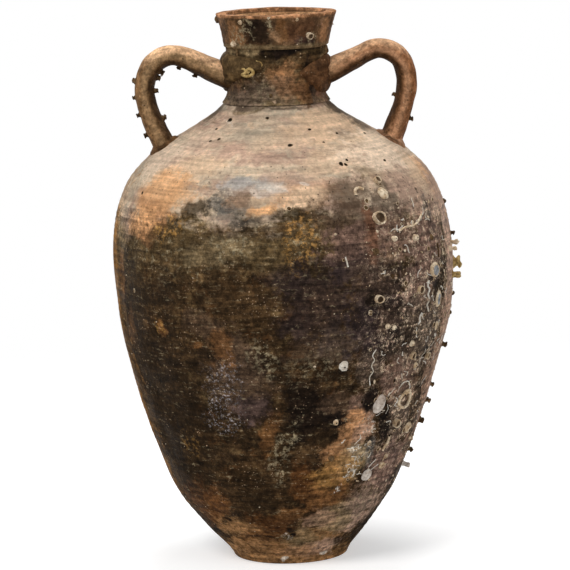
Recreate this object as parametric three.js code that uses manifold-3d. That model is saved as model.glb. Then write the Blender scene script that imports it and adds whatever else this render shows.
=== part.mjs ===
// Transport amphora: a wheel-thrown clay storage jar with two handles, raised from the sea floor.
// Millimetres, +Z up. The origin is the centre of the flat underside, and -Y is the front.
import * as THREE from "three";
import { mergeVertices } from "three/addons/utils/BufferGeometryUtils.js";
import Module from "manifold-3d";

const wasm = await Module();
wasm.setup();

// Heights
const jarHeight = 550;
const collarHeight = 35;
const neckHeight = 50;
const bellyHeight = 304;
const footEdgeHeight = 9;

// Radii from the wheel's axis, and what the next one out adds
const undersideRadius = 57;
const footSpread = 5.8;
const bellyRadius = 171;
const neckRadius = 50.7;
const collarLedge = 2;
const rimFlare = 8.2;

// Clay thicknesses and small edges
const wallThickness = 9;
const floorThickness = 16;
const floorFillet = 9;
const lipWidth = 11.6;
const lipRounding = 1.6;
const collarUndercut = 2.2;
const undersideRounding = { out: 2, up: 3 };

// The sections meet at bevelled seams, closed by a thin layer of slip
const slipGap = 0.3;
const seamBevel = 6;
const footSeamHeight = 18;
const bellySeamDrop = 54;
const shoulderSeamDrop = 65;
const neckSeamDrop = 4;

// Outline of the wall between its key places, as shares of the climb and of the change of radius
const lowerWallShape = [
  [0.105, 0.245], [0.207, 0.437], [0.342, 0.592], [0.478, 0.727], [0.647, 0.86], [0.79, 0.955],
];
const upperWallShape = [
  [0.225, 0.974], [0.381, 0.918], [0.506, 0.837], [0.6, 0.732], [0.694, 0.586], [0.787, 0.369],
  [0.865, 0.205], [0.93, 0.078],
];

// The thrown axis strays a little sideways: shares of the jar's height and of the stray
const axisStray = 3;
const axisStrayShape = [
  [0, 0], [0.11, -0.97], [0.24, -0.77], [0.36, -0.13], [0.47, 0.53], [0.58, 0.27],
  [0.73, -0.3], [0.84, -0.47], [1, 0.4],
];

// Handles: where the bar leaves the neck and lands on the shoulder, its crown and bend, and its size
const handleNeckDrop = 27;
const handleFootDrop = 45;
const handleCrown = { reach: 103, rise: 21.5 };
const handleBend = { reach: 130.5, drop: 29.5 };
const handleRootDepth = 12;
const handleThickness = 21.5;
const handleWidth = 36;
const neckRootThickening = 7.5;
const shoulderRootThickening = 2.5;
const rootWidening = 6;

// The bar's climb to the crown, fall to the bend and landing, as shares of reach and rise between key places
const barClimb = [0.47, 0.535];
const barFall = [0.69, 0.29];
const barDrop = [0.88, 0.665];
const barLanding = [0.5, 0.33];

// The bar swells over these shares of its length at its roots, fading by a power, and has a soft ridge
const neckSwellShare = 0.3;
const shoulderSwellShare = 0.25;
const swellFade = 1.5;
const ridgeSharpness = 1.15;

// Clay smeared round the handles' roots: its reach round the neck, its margin round the bar, and its rise
const rightNeckSmearReach = 50;
const leftNeckSmearReach = 66;
const leftNeckSmearLift = 3;
const smearMargin = 5;
const neckSmearRise = 7.5;
const shoulderSmearRise = 6.5;

// Facets
const wheelFacets = 48;
const barFacets = 14;
const barSteps = 24;
const barnacleFacets = 10;
const stalkFacets = 7;
const lineSamples = 600;

// How deep a growth's root is drawn before its seat cuts it away,
// and a worm tube's lift as a share of the tube
const growthRoot = 2.5;
const wormLift = 0.2;

// Sizes that follow from the ones above
const footRadius = undersideRadius + footSpread;
const collarRadius = neckRadius + collarLedge;
const rimRadius = collarRadius + rimFlare;
const mouthRadius = rimRadius - lipWidth;
const neckTopHeight = jarHeight - collarHeight;
const neckFootHeight = neckTopHeight - neckHeight;
const collarFootHeight = neckTopHeight + collarUndercut;
const handleNeckHeight = neckTopHeight - handleNeckDrop;
const handleFootHeight = neckFootHeight - handleFootDrop;
const rootWidth = handleWidth + rootWidening;
const neckRootThickness = handleThickness + neckRootThickening;
const shoulderRootThickness = handleThickness + shoulderRootThickening;

// Clay and chalk as they look in the photo
const bodyClay = { color: 0x4a3a2e, roughness: 0.7, metalness: 0 };
const shoulderClay = { color: 0x8d7a66, roughness: 0.75, metalness: 0 };
const handleClay = { color: 0x9a6a48, roughness: 0.7, metalness: 0 };
const shellChalk = { color: 0xbcae98, roughness: 0.85, metalness: 0 };

const jar = new THREE.Group();
jar.name = "transport_amphora";

function addPiece(name, geometry, finish) {
  geometry.computeVertexNormals();
  const mesh = new THREE.Mesh(geometry, new THREE.MeshStandardMaterial(finish));
  mesh.name = name;
  jar.add(mesh);
}

// A smooth line through [height, offset] pairs, read at any height
function smoothOffset(pairs) {
  const places = pairs.map(([height, offset]) => new THREE.Vector3(offset, height, 0));
  const line = new THREE.CatmullRomCurve3(places);
  const samples = line.getPoints(lineSamples);
  return (height) => {
    const held = THREE.MathUtils.clamp(height, samples[0].y, samples[lineSamples].y);
    const next = Math.max(1, samples.findIndex((sample) => sample.y >= held));
    const [below, above] = [samples[next - 1], samples[next]];
    return THREE.MathUtils.mapLinear(held, below.y, above.y, below.x, above.x);
  };
}

const axisOffset = smoothOffset(axisStrayShape.map(([rise, stray]) => [rise * jarHeight, stray * axisStray]));

// Moves what was turned about a straight axis onto the jar's own slightly wandering one
function followAxis(geometry) {
  const place = geometry.attributes.position;
  for (let i = 0; i < place.count; i++) {
    place.setX(i, place.getX(i) + axisOffset(place.getZ(i)));
  }
  return geometry;
}

// Solids for joining and cutting, and back to geometry
function toSolid(geometry) {
  const bare = geometry.clone();
  bare.deleteAttribute("normal");
  bare.deleteAttribute("uv");
  const merged = mergeVertices(bare, 1e-4);
  const vertProperties = new Float32Array(merged.attributes.position.array);
  const triVerts = new Uint32Array(merged.index.array);
  return new wasm.Manifold(new wasm.Mesh({ numProp: 3, vertProperties, triVerts }));
}

function toGeometry(solid) {
  const mesh = solid.getMesh();
  const geometry = new THREE.BufferGeometry();
  geometry.setAttribute("position", new THREE.BufferAttribute(new Float32Array(mesh.vertProperties), 3));
  geometry.setIndex(new THREE.BufferAttribute(new Uint32Array(mesh.triVerts), 1));
  return geometry;
}

// Turns an outline of radius and height about the wheel's axis
function turnOnWheel(outline) {
  return new THREE.LatheGeometry(outline, wheelFacets).rotateX(Math.PI / 2);
}

// The wall's outer line from the foot edge to the top of the neck, and a little way on inside the collar
function wallLine() {
  const footEdge = new THREE.Vector2(footRadius, footEdgeHeight);
  const belly = new THREE.Vector2(bellyRadius, bellyHeight);
  const neckFoot = new THREE.Vector2(neckRadius, neckFootHeight);
  const points = [footEdge];
  for (const [climb, spread] of lowerWallShape) {
    const radius = THREE.MathUtils.lerp(footEdge.x, belly.x, spread);
    points.push(new THREE.Vector2(radius, THREE.MathUtils.lerp(footEdge.y, belly.y, climb)));
  }
  points.push(belly);
  for (const [climb, spread] of upperWallShape) {
    const radius = THREE.MathUtils.lerp(neckFoot.x, belly.x, spread);
    points.push(new THREE.Vector2(radius, THREE.MathUtils.lerp(belly.y, neckFoot.y, climb)));
  }
  points.push(neckFoot, new THREE.Vector2(neckRadius, neckTopHeight));
  points.push(new THREE.Vector2(neckRadius, jarHeight));
  const places = points.map((point) => new THREE.Vector3(point.x, point.y, 0));
  return new THREE.CatmullRomCurve3(places, false, "centripetal");
}

const wall = wallLine();
wall.arcLengthDivisions = lineSamples;
const collarFace = new THREE.LineCurve3(
  new THREE.Vector3(collarRadius, collarFootHeight, 0),
  new THREE.Vector3(rimRadius, jarHeight - lipRounding, 0),
);

// Share of a climbing line's length at which it reaches a height
function shareAtHeight(line, height) {
  let low = 0;
  let high = 1;
  for (let halving = 0; halving < 30; halving++) {
    const middle = (low + high) / 2;
    if (line.getPointAt(middle).y < height) low = middle;
    else high = middle;
  }
  return (low + high) / 2;
}

// The point at a share of the line, moved outwards by a distance, as radius and height
function pointBeside(line, share, outwards) {
  const held = THREE.MathUtils.clamp(share, 0, 1);
  const point = line.getPointAt(held);
  const tangent = line.getTangentAt(held);
  return new THREE.Vector2(point.x + tangent.y * outwards, point.y - tangent.x * outwards);
}

// The stretch of wall between two seams. The inner face sits higher than the outer one by the bevel.
function wallStretch(lowShare, highShare, rows, outwards) {
  const points = [];
  for (let row = 0; row <= rows; row++) {
    points.push(pointBeside(wall, THREE.MathUtils.lerp(lowShare, highShare, row / rows), outwards));
  }
  return points;
}

const bevelShare = seamBevel / wall.getLength();
const seamWidth = slipGap * Math.hypot(wallThickness, seamBevel) / wallThickness;
const seamShare = seamWidth / wall.getLength() / 2;
const footSeam = shareAtHeight(wall, footSeamHeight);
const bellySeam = shareAtHeight(wall, bellyHeight - bellySeamDrop);
const shoulderSeam = shareAtHeight(wall, neckFootHeight - shoulderSeamDrop);
const neckSeam = shareAtHeight(wall, neckFootHeight - neckSeamDrop);
const neckTop = shareAtHeight(wall, neckTopHeight);

const footOutside = [
  new THREE.Vector2(0, 0),
  new THREE.Vector2(undersideRadius, 0),
  new THREE.Vector2(undersideRadius + undersideRounding.out, undersideRounding.up),
  ...wallStretch(0, footSeam - seamShare, 1, 0),
];
const collarFoot = pointBeside(wall, neckTop + seamShare, 0);
const collarOutside = [
  collarFoot,
  new THREE.Vector2(collarRadius, collarFootHeight),
  new THREE.Vector2(rimRadius, jarHeight - lipRounding),
  new THREE.Vector2(rimRadius - lipRounding, jarHeight),
];

const thrownSections = [
  { name: "lower_body", low: footSeam, high: bellySeam, rows: 8, finish: bodyClay },
  { name: "upper_body", low: bellySeam, high: shoulderSeam, rows: 6, finish: shoulderClay },
  { name: "shoulder", low: shoulderSeam, high: neckSeam, rows: 5, finish: shoulderClay },
  { name: "neck", low: neckSeam, high: neckTop, rows: 4, finish: bodyClay },
];

function makeFoot() {
  const innerSeam = pointBeside(wall, footSeam + bevelShare - seamShare, -wallThickness);
  const outline = [
    ...footOutside,
    innerSeam,
    new THREE.Vector2(innerSeam.x - floorFillet / 2, floorThickness + floorFillet / 4),
    new THREE.Vector2(innerSeam.x - floorFillet, floorThickness),
    new THREE.Vector2(0, floorThickness),
  ];
  addPiece("foot_disc", followAxis(turnOnWheel(outline)), bodyClay);
}

function makeSection({ name, low, high, rows, finish }) {
  const outer = wallStretch(low + seamShare, high - seamShare, rows, 0);
  const innerLow = low + bevelShare + seamShare;
  const inner = wallStretch(innerLow, high + bevelShare - seamShare, rows, -wallThickness);
  const outline = [...outer, ...inner.reverse(), outer[0]];
  addPiece(name, followAxis(turnOnWheel(outline)), finish);
}

function makeCollar() {
  const innerSeam = pointBeside(wall, neckTop + bevelShare + seamShare, -wallThickness);
  const outline = [
    ...collarOutside,
    new THREE.Vector2(mouthRadius + lipRounding, jarHeight),
    new THREE.Vector2(mouthRadius, jarHeight - lipRounding),
    innerSeam,
    collarFoot,
  ];
  addPiece("rim_collar", followAxis(turnOnWheel(outline)), handleClay);
}

// The filled outside of the jar, swollen by the slip gap: what sits on the jar is cut back to it
function makeSeat() {
  const rows = thrownSections.flatMap(({ low, high, rows: count }) =>
    wallStretch(low + seamShare, high - seamShare, count, slipGap));
  const outline = [
    new THREE.Vector2(0, -slipGap),
    new THREE.Vector2(undersideRadius, -slipGap),
    new THREE.Vector2(undersideRadius + undersideRounding.out + slipGap, undersideRounding.up),
    ...wallStretch(0, footSeam - seamShare, 1, slipGap),
    ...rows,
    new THREE.Vector2(collarRadius + slipGap, collarFootHeight - slipGap),
    new THREE.Vector2(rimRadius + slipGap, jarHeight - lipRounding),
    new THREE.Vector2(rimRadius - lipRounding, jarHeight + slipGap),
    new THREE.Vector2(0, jarHeight + slipGap),
  ];
  return toSolid(followAxis(turnOnWheel(outline)));
}

// A handle's middle line, from inside the neck wall to inside the shoulder wall
function handleLine(side) {
  const shoulder = pointBeside(wall, shareAtHeight(wall, handleFootHeight), 0);
  const between = (from, to, [reach, rise]) => [
    THREE.MathUtils.lerp(from[0], to[0], reach),
    THREE.MathUtils.lerp(from[1], to[1], rise),
  ];
  const neckRoot = [neckRadius, handleNeckHeight];
  const crown = [handleCrown.reach, handleNeckHeight + handleCrown.rise];
  const bend = [handleBend.reach, crown[1] - handleBend.drop];
  const shoulderRoot = [shoulder.x, shoulder.y];
  const points = [
    [neckRadius - handleRootDepth, handleNeckHeight - handleRootDepth / 3],
    neckRoot,
    between(neckRoot, crown, barClimb),
    crown,
    between(crown, bend, barFall),
    bend,
    between(shoulderRoot, bend, barDrop),
    between(shoulderRoot, bend, barLanding),
    shoulderRoot,
    [shoulder.x - handleRootDepth / 3, shoulder.y - handleRootDepth],
  ];
  const places = points.map(([x, z]) => new THREE.Vector3(side * x, 0, z));
  return new THREE.CatmullRomCurve3(places, false, "centripetal");
}

// The bar's half thickness and half width at a share of its length: thicker and wider at both roots
function barHalfSize(share) {
  const neckSwell = Math.max(0, 1 - share / neckSwellShare) ** swellFade;
  const shoulderSwell = Math.max(0, 1 - (1 - share) / shoulderSwellShare) ** swellFade;
  const thickness = handleThickness + neckSwell * (neckRootThickness - handleThickness)
    + shoulderSwell * (shoulderRootThickness - handleThickness);
  const width = handleWidth + Math.max(neckSwell, shoulderSwell) * (rootWidth - handleWidth);
  return { thick: thickness / 2, wide: width / 2 };
}

// A lens-shaped bar with a soft ridge down its front and back, bent along the middle line
function bendBar(side, swelling) {
  const section = new THREE.Shape();
  for (let facet = 0; facet < barFacets; facet++) {
    const turn = (facet / barFacets) * Math.PI * 2;
    const ridge = Math.sign(Math.sin(turn)) * Math.abs(Math.sin(turn)) ** ridgeSharpness;
    if (facet === 0) section.moveTo(1, 0);
    else section.lineTo(Math.cos(turn), ridge);
  }
  const bar = new THREE.ExtrudeGeometry(section, { depth: 1, steps: barSteps, bevelEnabled: false });
  const line = handleLine(side);
  const place = bar.attributes.position;
  for (let i = 0; i < place.count; i++) {
    const share = THREE.MathUtils.clamp(place.getZ(i), 0, 1);
    const { thick, wide } = barHalfSize(share);
    const middle = line.getPointAt(share);
    const tangent = line.getTangentAt(share);
    const across = place.getX(i) * (thick + swelling);
    const sideways = place.getY(i) * (wide + swelling);
    place.setXYZ(i, middle.x + tangent.z * across, sideways, middle.z - tangent.x * across);
  }
  return followAxis(bar);
}

// Lays a shape on the jar. Its own x runs right along the wall, y climbs, and z points outwards.
function layOnJar(geometry, line, angle, height) {
  const start = shareAtHeight(line, height);
  const reach = line.getPointAt(start).x;
  const length = line.getLength();
  const place = geometry.attributes.position;
  for (let i = 0; i < place.count; i++) {
    const turn = THREE.MathUtils.degToRad(angle) - place.getX(i) / reach;
    const { x: radius, y: rise } = pointBeside(line, start + place.getY(i) / length, place.getZ(i));
    place.setXYZ(i, radius * Math.cos(turn), -radius * Math.sin(turn), rise);
  }
  return followAxis(geometry);
}

// Places a shape on a handle, round the bar by an angle that starts on the outer side of the loop
function layOnHandle(geometry, side, share, around) {
  const line = handleLine(side);
  const middle = line.getPointAt(share);
  const tangent = line.getTangentAt(share);
  const { thick, wide } = barHalfSize(share);
  const turn = THREE.MathUtils.degToRad(around);
  const loopOutwards = new THREE.Vector3(-side * tangent.z, 0, side * tangent.x);
  const front = new THREE.Vector3(0, -1, 0);
  const outwards = loopOutwards.clone().multiplyScalar(Math.cos(turn) / thick);
  outwards.addScaledVector(front, Math.sin(turn) / wide).normalize();
  const base = middle.addScaledVector(loopOutwards, Math.cos(turn) * thick);
  base.addScaledVector(front, Math.sin(turn) * wide);
  const along = tangent.clone();
  const across = outwards.clone().cross(along);
  geometry.applyMatrix4(new THREE.Matrix4().makeBasis(along, across, outwards).setPosition(base));
  return followAxis(geometry);
}

// Growth shapes. Each stands on z = 0 with a root below it, which its seat cuts away.
function turnUpright(outline, facets) {
  const points = outline.map(([radius, rise]) => new THREE.Vector2(radius, rise));
  return new THREE.LatheGeometry(points, facets).rotateX(Math.PI / 2);
}

function barnacle(diameter, rise) {
  const radius = diameter / 2;
  return turnUpright([
    [0, -growthRoot], [radius, -growthRoot], [radius, 0], [radius * 0.8, rise], [radius * 0.58, rise],
    [radius * 0.42, rise * 0.45], [0, rise * 0.4],
  ], barnacleFacets);
}

function stalk(diameter, length) {
  const radius = diameter / 2;
  return turnUpright([
    [0, -growthRoot], [radius * 0.8, -growthRoot], [radius * 0.65, length * 0.55], [radius, length * 0.75],
    [radius * 0.7, length], [0, length],
  ], stalkFacets);
}

function bead(diameter, rise) {
  return new THREE.SphereGeometry(diameter / 2, 8, 6).scale(1, 1, (2 * rise) / diameter);
}

function shellPlate(width, length, rise, turn) {
  const plate = new THREE.SphereGeometry(1, 10, 6).scale(width / 2, length / 2, rise);
  return plate.rotateZ(THREE.MathUtils.degToRad(turn));
}

function wormRing(diameter, tube, lift = 0) {
  const ring = new THREE.TorusGeometry((diameter - tube) / 2, tube / 2, 6, 12);
  return ring.translate(0, 0, tube * wormLift + lift);
}

// A chalk tube that creeps along the wall through the given places, each right of and above the start
function wormTube(tube, places) {
  const points = places.map(([right, up]) => new THREE.Vector3(right, up, tube * wormLift));
  const route = new THREE.CatmullRomCurve3(points);
  const section = new THREE.Shape();
  section.absarc(0, 0, tube / 2, 0, Math.PI * 2);
  return new THREE.ExtrudeGeometry(section, {
    steps: 4 * (places.length - 1),
    curveSegments: 3,
    extrudePath: route,
  });
}

// What grows on the jar: angle from +X towards the front in degrees, height as a share of the jar's,
// then the shape's own sizes
const barnacles = [
  [55, 0.649, 13, 5.5], [58, 0.509, 8.5, 5], [39, 0.513, 8.5, 3.5], [39, 0.393, 7.5, 3.5],
  [28, 0.384, 7, 3.5], [39, 0.267, 9.5, 4.5], [50, 0.711, 7, 4], [54, 0.96, 7, 3.5],
];
const beads = [
  [50, 0.611, 6, 4], [40, 0.606, 7.5, 4], [54, 0.457, 5.2, 4], [41, 0.416, 6, 4],
  [69.5, 0.393, 10, 4.5], [141, 0.947, 6, 4],
];
const stalks = [
  [4, 0.589, 3.5, 4], [8, 0.575, 5, 8], [13, 0.567, 4, 8], [2, 0.533, 9, 8], [9, 0.516, 5, 9],
  [4, 0.384, 5, 5.5], [3, 0.309, 3.5, 4], [5, 0.282, 5, 5.5], [5, 0.245, 5, 5.5], [4, 0.191, 4.5, 5],
  [8, 0.165, 4, 8],
];
const shellPlates = [
  [30, 0.542, 17, 15, 4, -10], [50, 0.689, 10, 13, 3.5, 25], [52, 0.313, 11, 20, 6, -18],
  [49, 0.175, 11, 13, 4, -40], [27, 0.487, 10.5, 17, 2.5, -10],
];
const wormRings = [[37, 0.309, 22, 3.2], [40, 0.187, 8, 2.6], [122, 0.898, 14, 3.4, 4]];
const wormTubes = [
  [60, 0.698, 3, [[-4.6, -5], [-3.4, 1], [1, 3], [5.8, 1]]],
  [41, 0.629, 2, [[-20, -4], [-9, -1], [1.5, -1], [12, 2], [21, 8]]],
  [42, 0.231, 2.6, [[2.3, 7.5], [3, 2], [0, -3], [-2.3, -8]]],
];

// Growth on the handles: side, share of the bar's length, angle round the bar, diameter, length
const handleStalks = [
  [-1, 0.586, 10, 4, 3], [-1, 0.659, -8, 3.8, 2.8], [-1, 0.744, 5, 4.4, 3], [-1, 0.847, 8, 4, 3.4],
  [-1, 0.489, 172, 5.4, 3.6], [-1, 0.544, 184, 4, 3], [-1, 0.633, 176, 3.8, 2.6], [-1, 0.8, 174, 4.8, 3.4],
  [-1, 0.312, 182, 4, 2.8], [-1, 0.213, 176, 4.2, 3], [1, 0.702, 182, 3.4, 2.2], [1, 0.8, 8, 4.2, 3.4],
];

makeFoot();
thrownSections.forEach(makeSection);
makeCollar();

const seat = makeSeat();
let growthSeat = seat;
const handleSides = { left: -1, right: 1 };
const handleCutters = {};

for (const [sideName, side] of Object.entries(handleSides)) {
  const facing = side > 0 ? 0 : 180;
  const neckReach = side > 0 ? rightNeckSmearReach : leftNeckSmearReach;
  const neckLift = side > 0 ? 0 : leftNeckSmearLift;
  const shoulderReach = rootWidth / 2 + smearMargin;
  handleCutters[side] = toSolid(bendBar(side, slipGap));
  addPiece(`${sideName}_handle`, toGeometry(toSolid(bendBar(side, 0)).subtract(seat)), handleClay);
  const smears = [
    {
      place: "neck",
      height: handleNeckHeight + neckLift,
      reach: neckReach,
      bar: neckRootThickness,
      rise: neckSmearRise,
    },
    {
      place: "shoulder",
      height: handleFootHeight,
      reach: shoulderReach,
      bar: shoulderRootThickness,
      rise: shoulderSmearRise,
    },
  ];
  for (const { place, height, reach, bar, rise } of smears) {
    const layClay = (swelling) => {
      const smear = new THREE.SphereGeometry(1, 20, 10).rotateX(Math.PI / 2);
      smear.scale(reach + swelling, bar / 2 + smearMargin + swelling, rise + swelling);
      return toSolid(layOnJar(smear, wall, facing, height));
    };
    const trimmed = layClay(0).subtract(handleCutters[side]).subtract(seat);
    addPiece(`${sideName}_${place}_clay`, toGeometry(trimmed), handleClay);
    growthSeat = growthSeat.add(layClay(slipGap));
  }
}

function growOnJar(name, shape, angle, rise) {
  const height = rise * jarHeight;
  const line = height > collarFootHeight ? collarFace : wall;
  addPiece(name, toGeometry(toSolid(layOnJar(shape, line, angle, height)).subtract(growthSeat)), shellChalk);
}

const numbered = (word, index) => `${word}_${String(index + 1).padStart(2, "0")}`;

const jarGrowth = [
  { word: "barnacle", shape: barnacle, placed: barnacles },
  { word: "bead", shape: bead, placed: beads },
  { word: "stalk", shape: stalk, placed: stalks },
  { word: "shell_plate", shape: shellPlate, placed: shellPlates },
  { word: "worm_ring", shape: wormRing, placed: wormRings },
  { word: "worm_tube", shape: wormTube, placed: wormTubes },
];
for (const { word, shape, placed } of jarGrowth) {
  placed.forEach(([angle, rise, ...size], i) => growOnJar(numbered(word, i), shape(...size), angle, rise));
}
handleStalks.forEach(([side, share, around, diameter, length], i) => {
  const placed = toSolid(layOnHandle(stalk(diameter, length), side, share, around));
  addPiece(numbered("handle_stalk", i), toGeometry(placed.subtract(handleCutters[side])), shellChalk);
});

export default jar;
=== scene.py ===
# Transport amphora raised from the sea floor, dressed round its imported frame. +Z is up, -Y is the front.
# Clay sizes below are in millimetres, as a potter would give them, and become metres in makePiece.
import math

import bpy
import numpy as np
from mathutils import Matrix, Vector


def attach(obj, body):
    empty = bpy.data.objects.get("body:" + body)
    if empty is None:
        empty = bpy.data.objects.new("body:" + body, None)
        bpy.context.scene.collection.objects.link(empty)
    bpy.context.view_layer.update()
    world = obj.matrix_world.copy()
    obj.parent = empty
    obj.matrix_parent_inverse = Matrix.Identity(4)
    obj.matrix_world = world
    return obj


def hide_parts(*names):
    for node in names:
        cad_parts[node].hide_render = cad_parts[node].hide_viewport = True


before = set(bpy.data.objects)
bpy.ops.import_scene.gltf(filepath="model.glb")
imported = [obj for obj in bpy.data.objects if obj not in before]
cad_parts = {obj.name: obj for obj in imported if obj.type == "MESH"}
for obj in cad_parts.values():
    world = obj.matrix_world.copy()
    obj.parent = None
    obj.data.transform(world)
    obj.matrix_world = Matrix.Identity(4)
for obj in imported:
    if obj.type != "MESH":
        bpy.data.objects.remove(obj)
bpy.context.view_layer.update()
mm = 0.001
print("Frame: loaded", len(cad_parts), "nodes")


# The jar's outline: radius from the wheel's axis and height
jar = {
    "height": 550,
    "bellyRadius": 171,
    "bellyHeight": 304,
    "footEdge": (62.8, 9),
    "undersideRadius": 57,
    "undersideRounding": (2, 3),
    "neckRadius": 50.7,
    "neckFoot": 465,
    "neckTop": 515,
    "wall": 9,
    "floor": 16,
    "seamBevel": 6,
    "neckLedge": (1.8, 6),  # how far the neck overhangs its seam, and over what height
    "seams": {"foot": 18, "belly": 250, "shoulder": 400, "neck": 461},
    "sides": {"right": -6, "left": 174},  # the middle of each side, as an angle
    "areas": {  # heights between which a piece's outer face has its own clay on each side
        "foot_disc": (0, 18), "lower_body": (18, 90, 165, 250), "upper_body": (250, 305, 338, 368, 400),
        "shoulder": (400, 461), "neck": (461, 515),
    },
    "turns": 448,  # points round the jar
    "rowStep": 2.2,  # between rows up the wall
}
# Shares of the climb and of the change of radius
lowerWallShape = [
    (0.105, 0.245), (0.207, 0.437), (0.342, 0.592), (0.478, 0.727), (0.647, 0.86), (0.79, 0.955),
]
upperWallShape = [
    (0.225, 0.974), (0.381, 0.918), (0.506, 0.837), (0.6, 0.732), (0.694, 0.586), (0.787, 0.369),
    (0.865, 0.205), (0.93, 0.078),
]
axisStray = 3  # how far the wheel's axis wanders sideways, at heights as shares of the jar
axisStrayShape = [
    (0, 0), (0.11, -0.97), (0.24, -0.77), (0.36, -0.13), (0.47, 0.53), (0.58, 0.27), (0.73, -0.3),
    (0.84, -0.47), (1, 0.4),
]
collar = {
    "footRadius": 52.7,
    "footHeight": 517.2,
    "rimRadius": 60.9,
    "lipWidth": 11.6,
    "lipRounding": 1.6,
    "lipDip": 0.25,
    "bandHollow": 0.7,  # the band is very slightly hollow between foot and lip
}


def smoothThrough(points, perSpan=30):  # a smooth line through the points, evenly eased
    spots = [np.array(point, float) for point in points]
    spots = [2 * spots[0] - spots[1], *spots, 2 * spots[-1] - spots[-2]]
    line = []
    for before, start, end, after in zip(spots, spots[1:], spots[2:], spots[3:]):
        lead, span, trail = [
            max(np.linalg.norm(b - a), 1e-6) ** 0.5 for a, b in ((before, start), (start, end), (end, after))
        ]
        leaving = ((start - before) / lead - (end - before) / (lead + span) + (end - start) / span) * span
        arriving = ((end - start) / span - (after - start) / (span + trail) + (after - end) / trail) * span
        for t in np.arange(perSpan) / perSpan:
            line.append(
                start * (2 * t**3 - 3 * t**2 + 1) + leaving * (t**3 - 2 * t**2 + t)
                + end * (3 * t**2 - 2 * t**3) + arriving * (t**3 - t**2)
            )
    line.append(spots[-2])
    return np.array(line)


class Outline:  # a line of radius and height that can be read at any run along it
    def __init__(self, points):
        self.points = np.array(points, float)
        steps = np.linalg.norm(np.diff(self.points, axis=0), axis=1)
        self.runs = np.concatenate([[0], np.cumsum(steps)])

    def at(self, run):
        columns = [np.interp(run, self.runs, self.points[:, i]) for i in (0, 1)]
        return np.stack(columns, axis=-1)

    def outwards(self, run):  # the way out of the wall, in radius and height
        ahead = self.at(np.minimum(run + 1.5, self.runs[-1])) - self.at(np.maximum(run - 1.5, 0))
        ahead /= np.linalg.norm(ahead, axis=-1)[..., None]
        return np.stack([ahead[..., 1], -ahead[..., 0]], axis=-1)

    def runAt(self, height):
        return float(np.interp(height, self.points[:, 1], self.runs))


def wallPlaces():
    footRadius, footHeight = jar["footEdge"]
    places = [jar["footEdge"]]
    for climb, spread in lowerWallShape:
        places.append((
            footRadius + (jar["bellyRadius"] - footRadius) * spread,
            footHeight + (jar["bellyHeight"] - footHeight) * climb,
        ))
    places.append((jar["bellyRadius"], jar["bellyHeight"]))
    for climb, spread in upperWallShape:
        places.append((
            jar["neckRadius"] + (jar["bellyRadius"] - jar["neckRadius"]) * spread,
            jar["bellyHeight"] + (jar["neckFoot"] - jar["bellyHeight"]) * climb,
        ))
    for height in (jar["neckFoot"], jar["neckTop"], jar["height"]):
        places.append((jar["neckRadius"], height))
    return places


wall = Outline(smoothThrough(wallPlaces()))
collarFace = Outline([
    (collar["footRadius"], collar["footHeight"]),
    (collar["rimRadius"], jar["height"] - collar["lipRounding"]),
])
stray = smoothThrough([(share * axisStray, rise * jar["height"]) for rise, share in axisStrayShape])


def axisOffset(height):
    return np.interp(height, stray[:, 1], stray[:, 0])


def roundJar(radius, height, turn):  # turn runs from +X towards the front
    return np.stack([radius * np.cos(turn) + axisOffset(height), -radius * np.sin(turn), height], axis=-1)


# How the thrown clay feels: wavelength and depth of each kind of unevenness
clayFeel = {
    "swell": (95, 0.32),
    "lumps": (26, 0.16),
    "ridge": (6.4, 0.1),
    "ridgeSway": (29, 2.4),  # how the finger ridges crowd and spread
    "ridgeWander": (160, 0.8),
    "ridgeChange": (70, 0.7),
    "settle": 0.45,  # drawn in by this, so that no swell stands outside the jar's size
}


def ripple(places, wavelength, seed, waves=12):  # smooth random swell, about -1 to 1
    chance = np.random.default_rng(seed)
    ways = chance.normal(size=(waves, 3))
    ways /= np.linalg.norm(ways, axis=1)[:, None]
    lengths = wavelength * chance.uniform(0.7, 1.5, waves)
    phases = chance.uniform(0, 2 * math.pi, waves)
    total = np.zeros(len(places))
    for way, length, phase in zip(ways, lengths, phases):
        total += np.sin(places @ way * (2 * math.pi / length) + phase)
    return total / math.sqrt(waves)


def clayRelief(places):  # how far the clay stands out at these places
    swellLength, swellDepth = clayFeel["swell"]
    lumpLength, lumpDepth = clayFeel["lumps"]
    ridgeLength, ridgeDepth = clayFeel["ridge"]
    swayLength, sway = clayFeel["ridgeSway"]
    wanderLength, wander = clayFeel["ridgeWander"]
    changeLength, change = clayFeel["ridgeChange"]
    height = places[:, 2]
    relief = ripple(places, swellLength, 3) * swellDepth + ripple(places, lumpLength, 5) * lumpDepth
    beat = height * (2 * math.pi / ridgeLength) + sway * np.sin(height / swayLength)
    beat = beat + wander * ripple(places, wanderLength, 8)
    relief += np.sin(beat) * ridgeDepth * (1 + change * ripple(places, changeLength, 9))
    return relief - clayFeel["settle"]


def gridFaces(rows, columns, closedRows, start=0):  # quads over a grid that is closed round its columns
    faces = []
    for i in range(rows if closedRows else rows - 1):
        below = start + i * columns
        above = start + ((i + 1) % rows) * columns
        for k in range(columns):
            turn = (k + 1) % columns
            faces.append((below + k, above + k, above + turn, below + turn))
    return faces


pieceCount = 0


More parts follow.
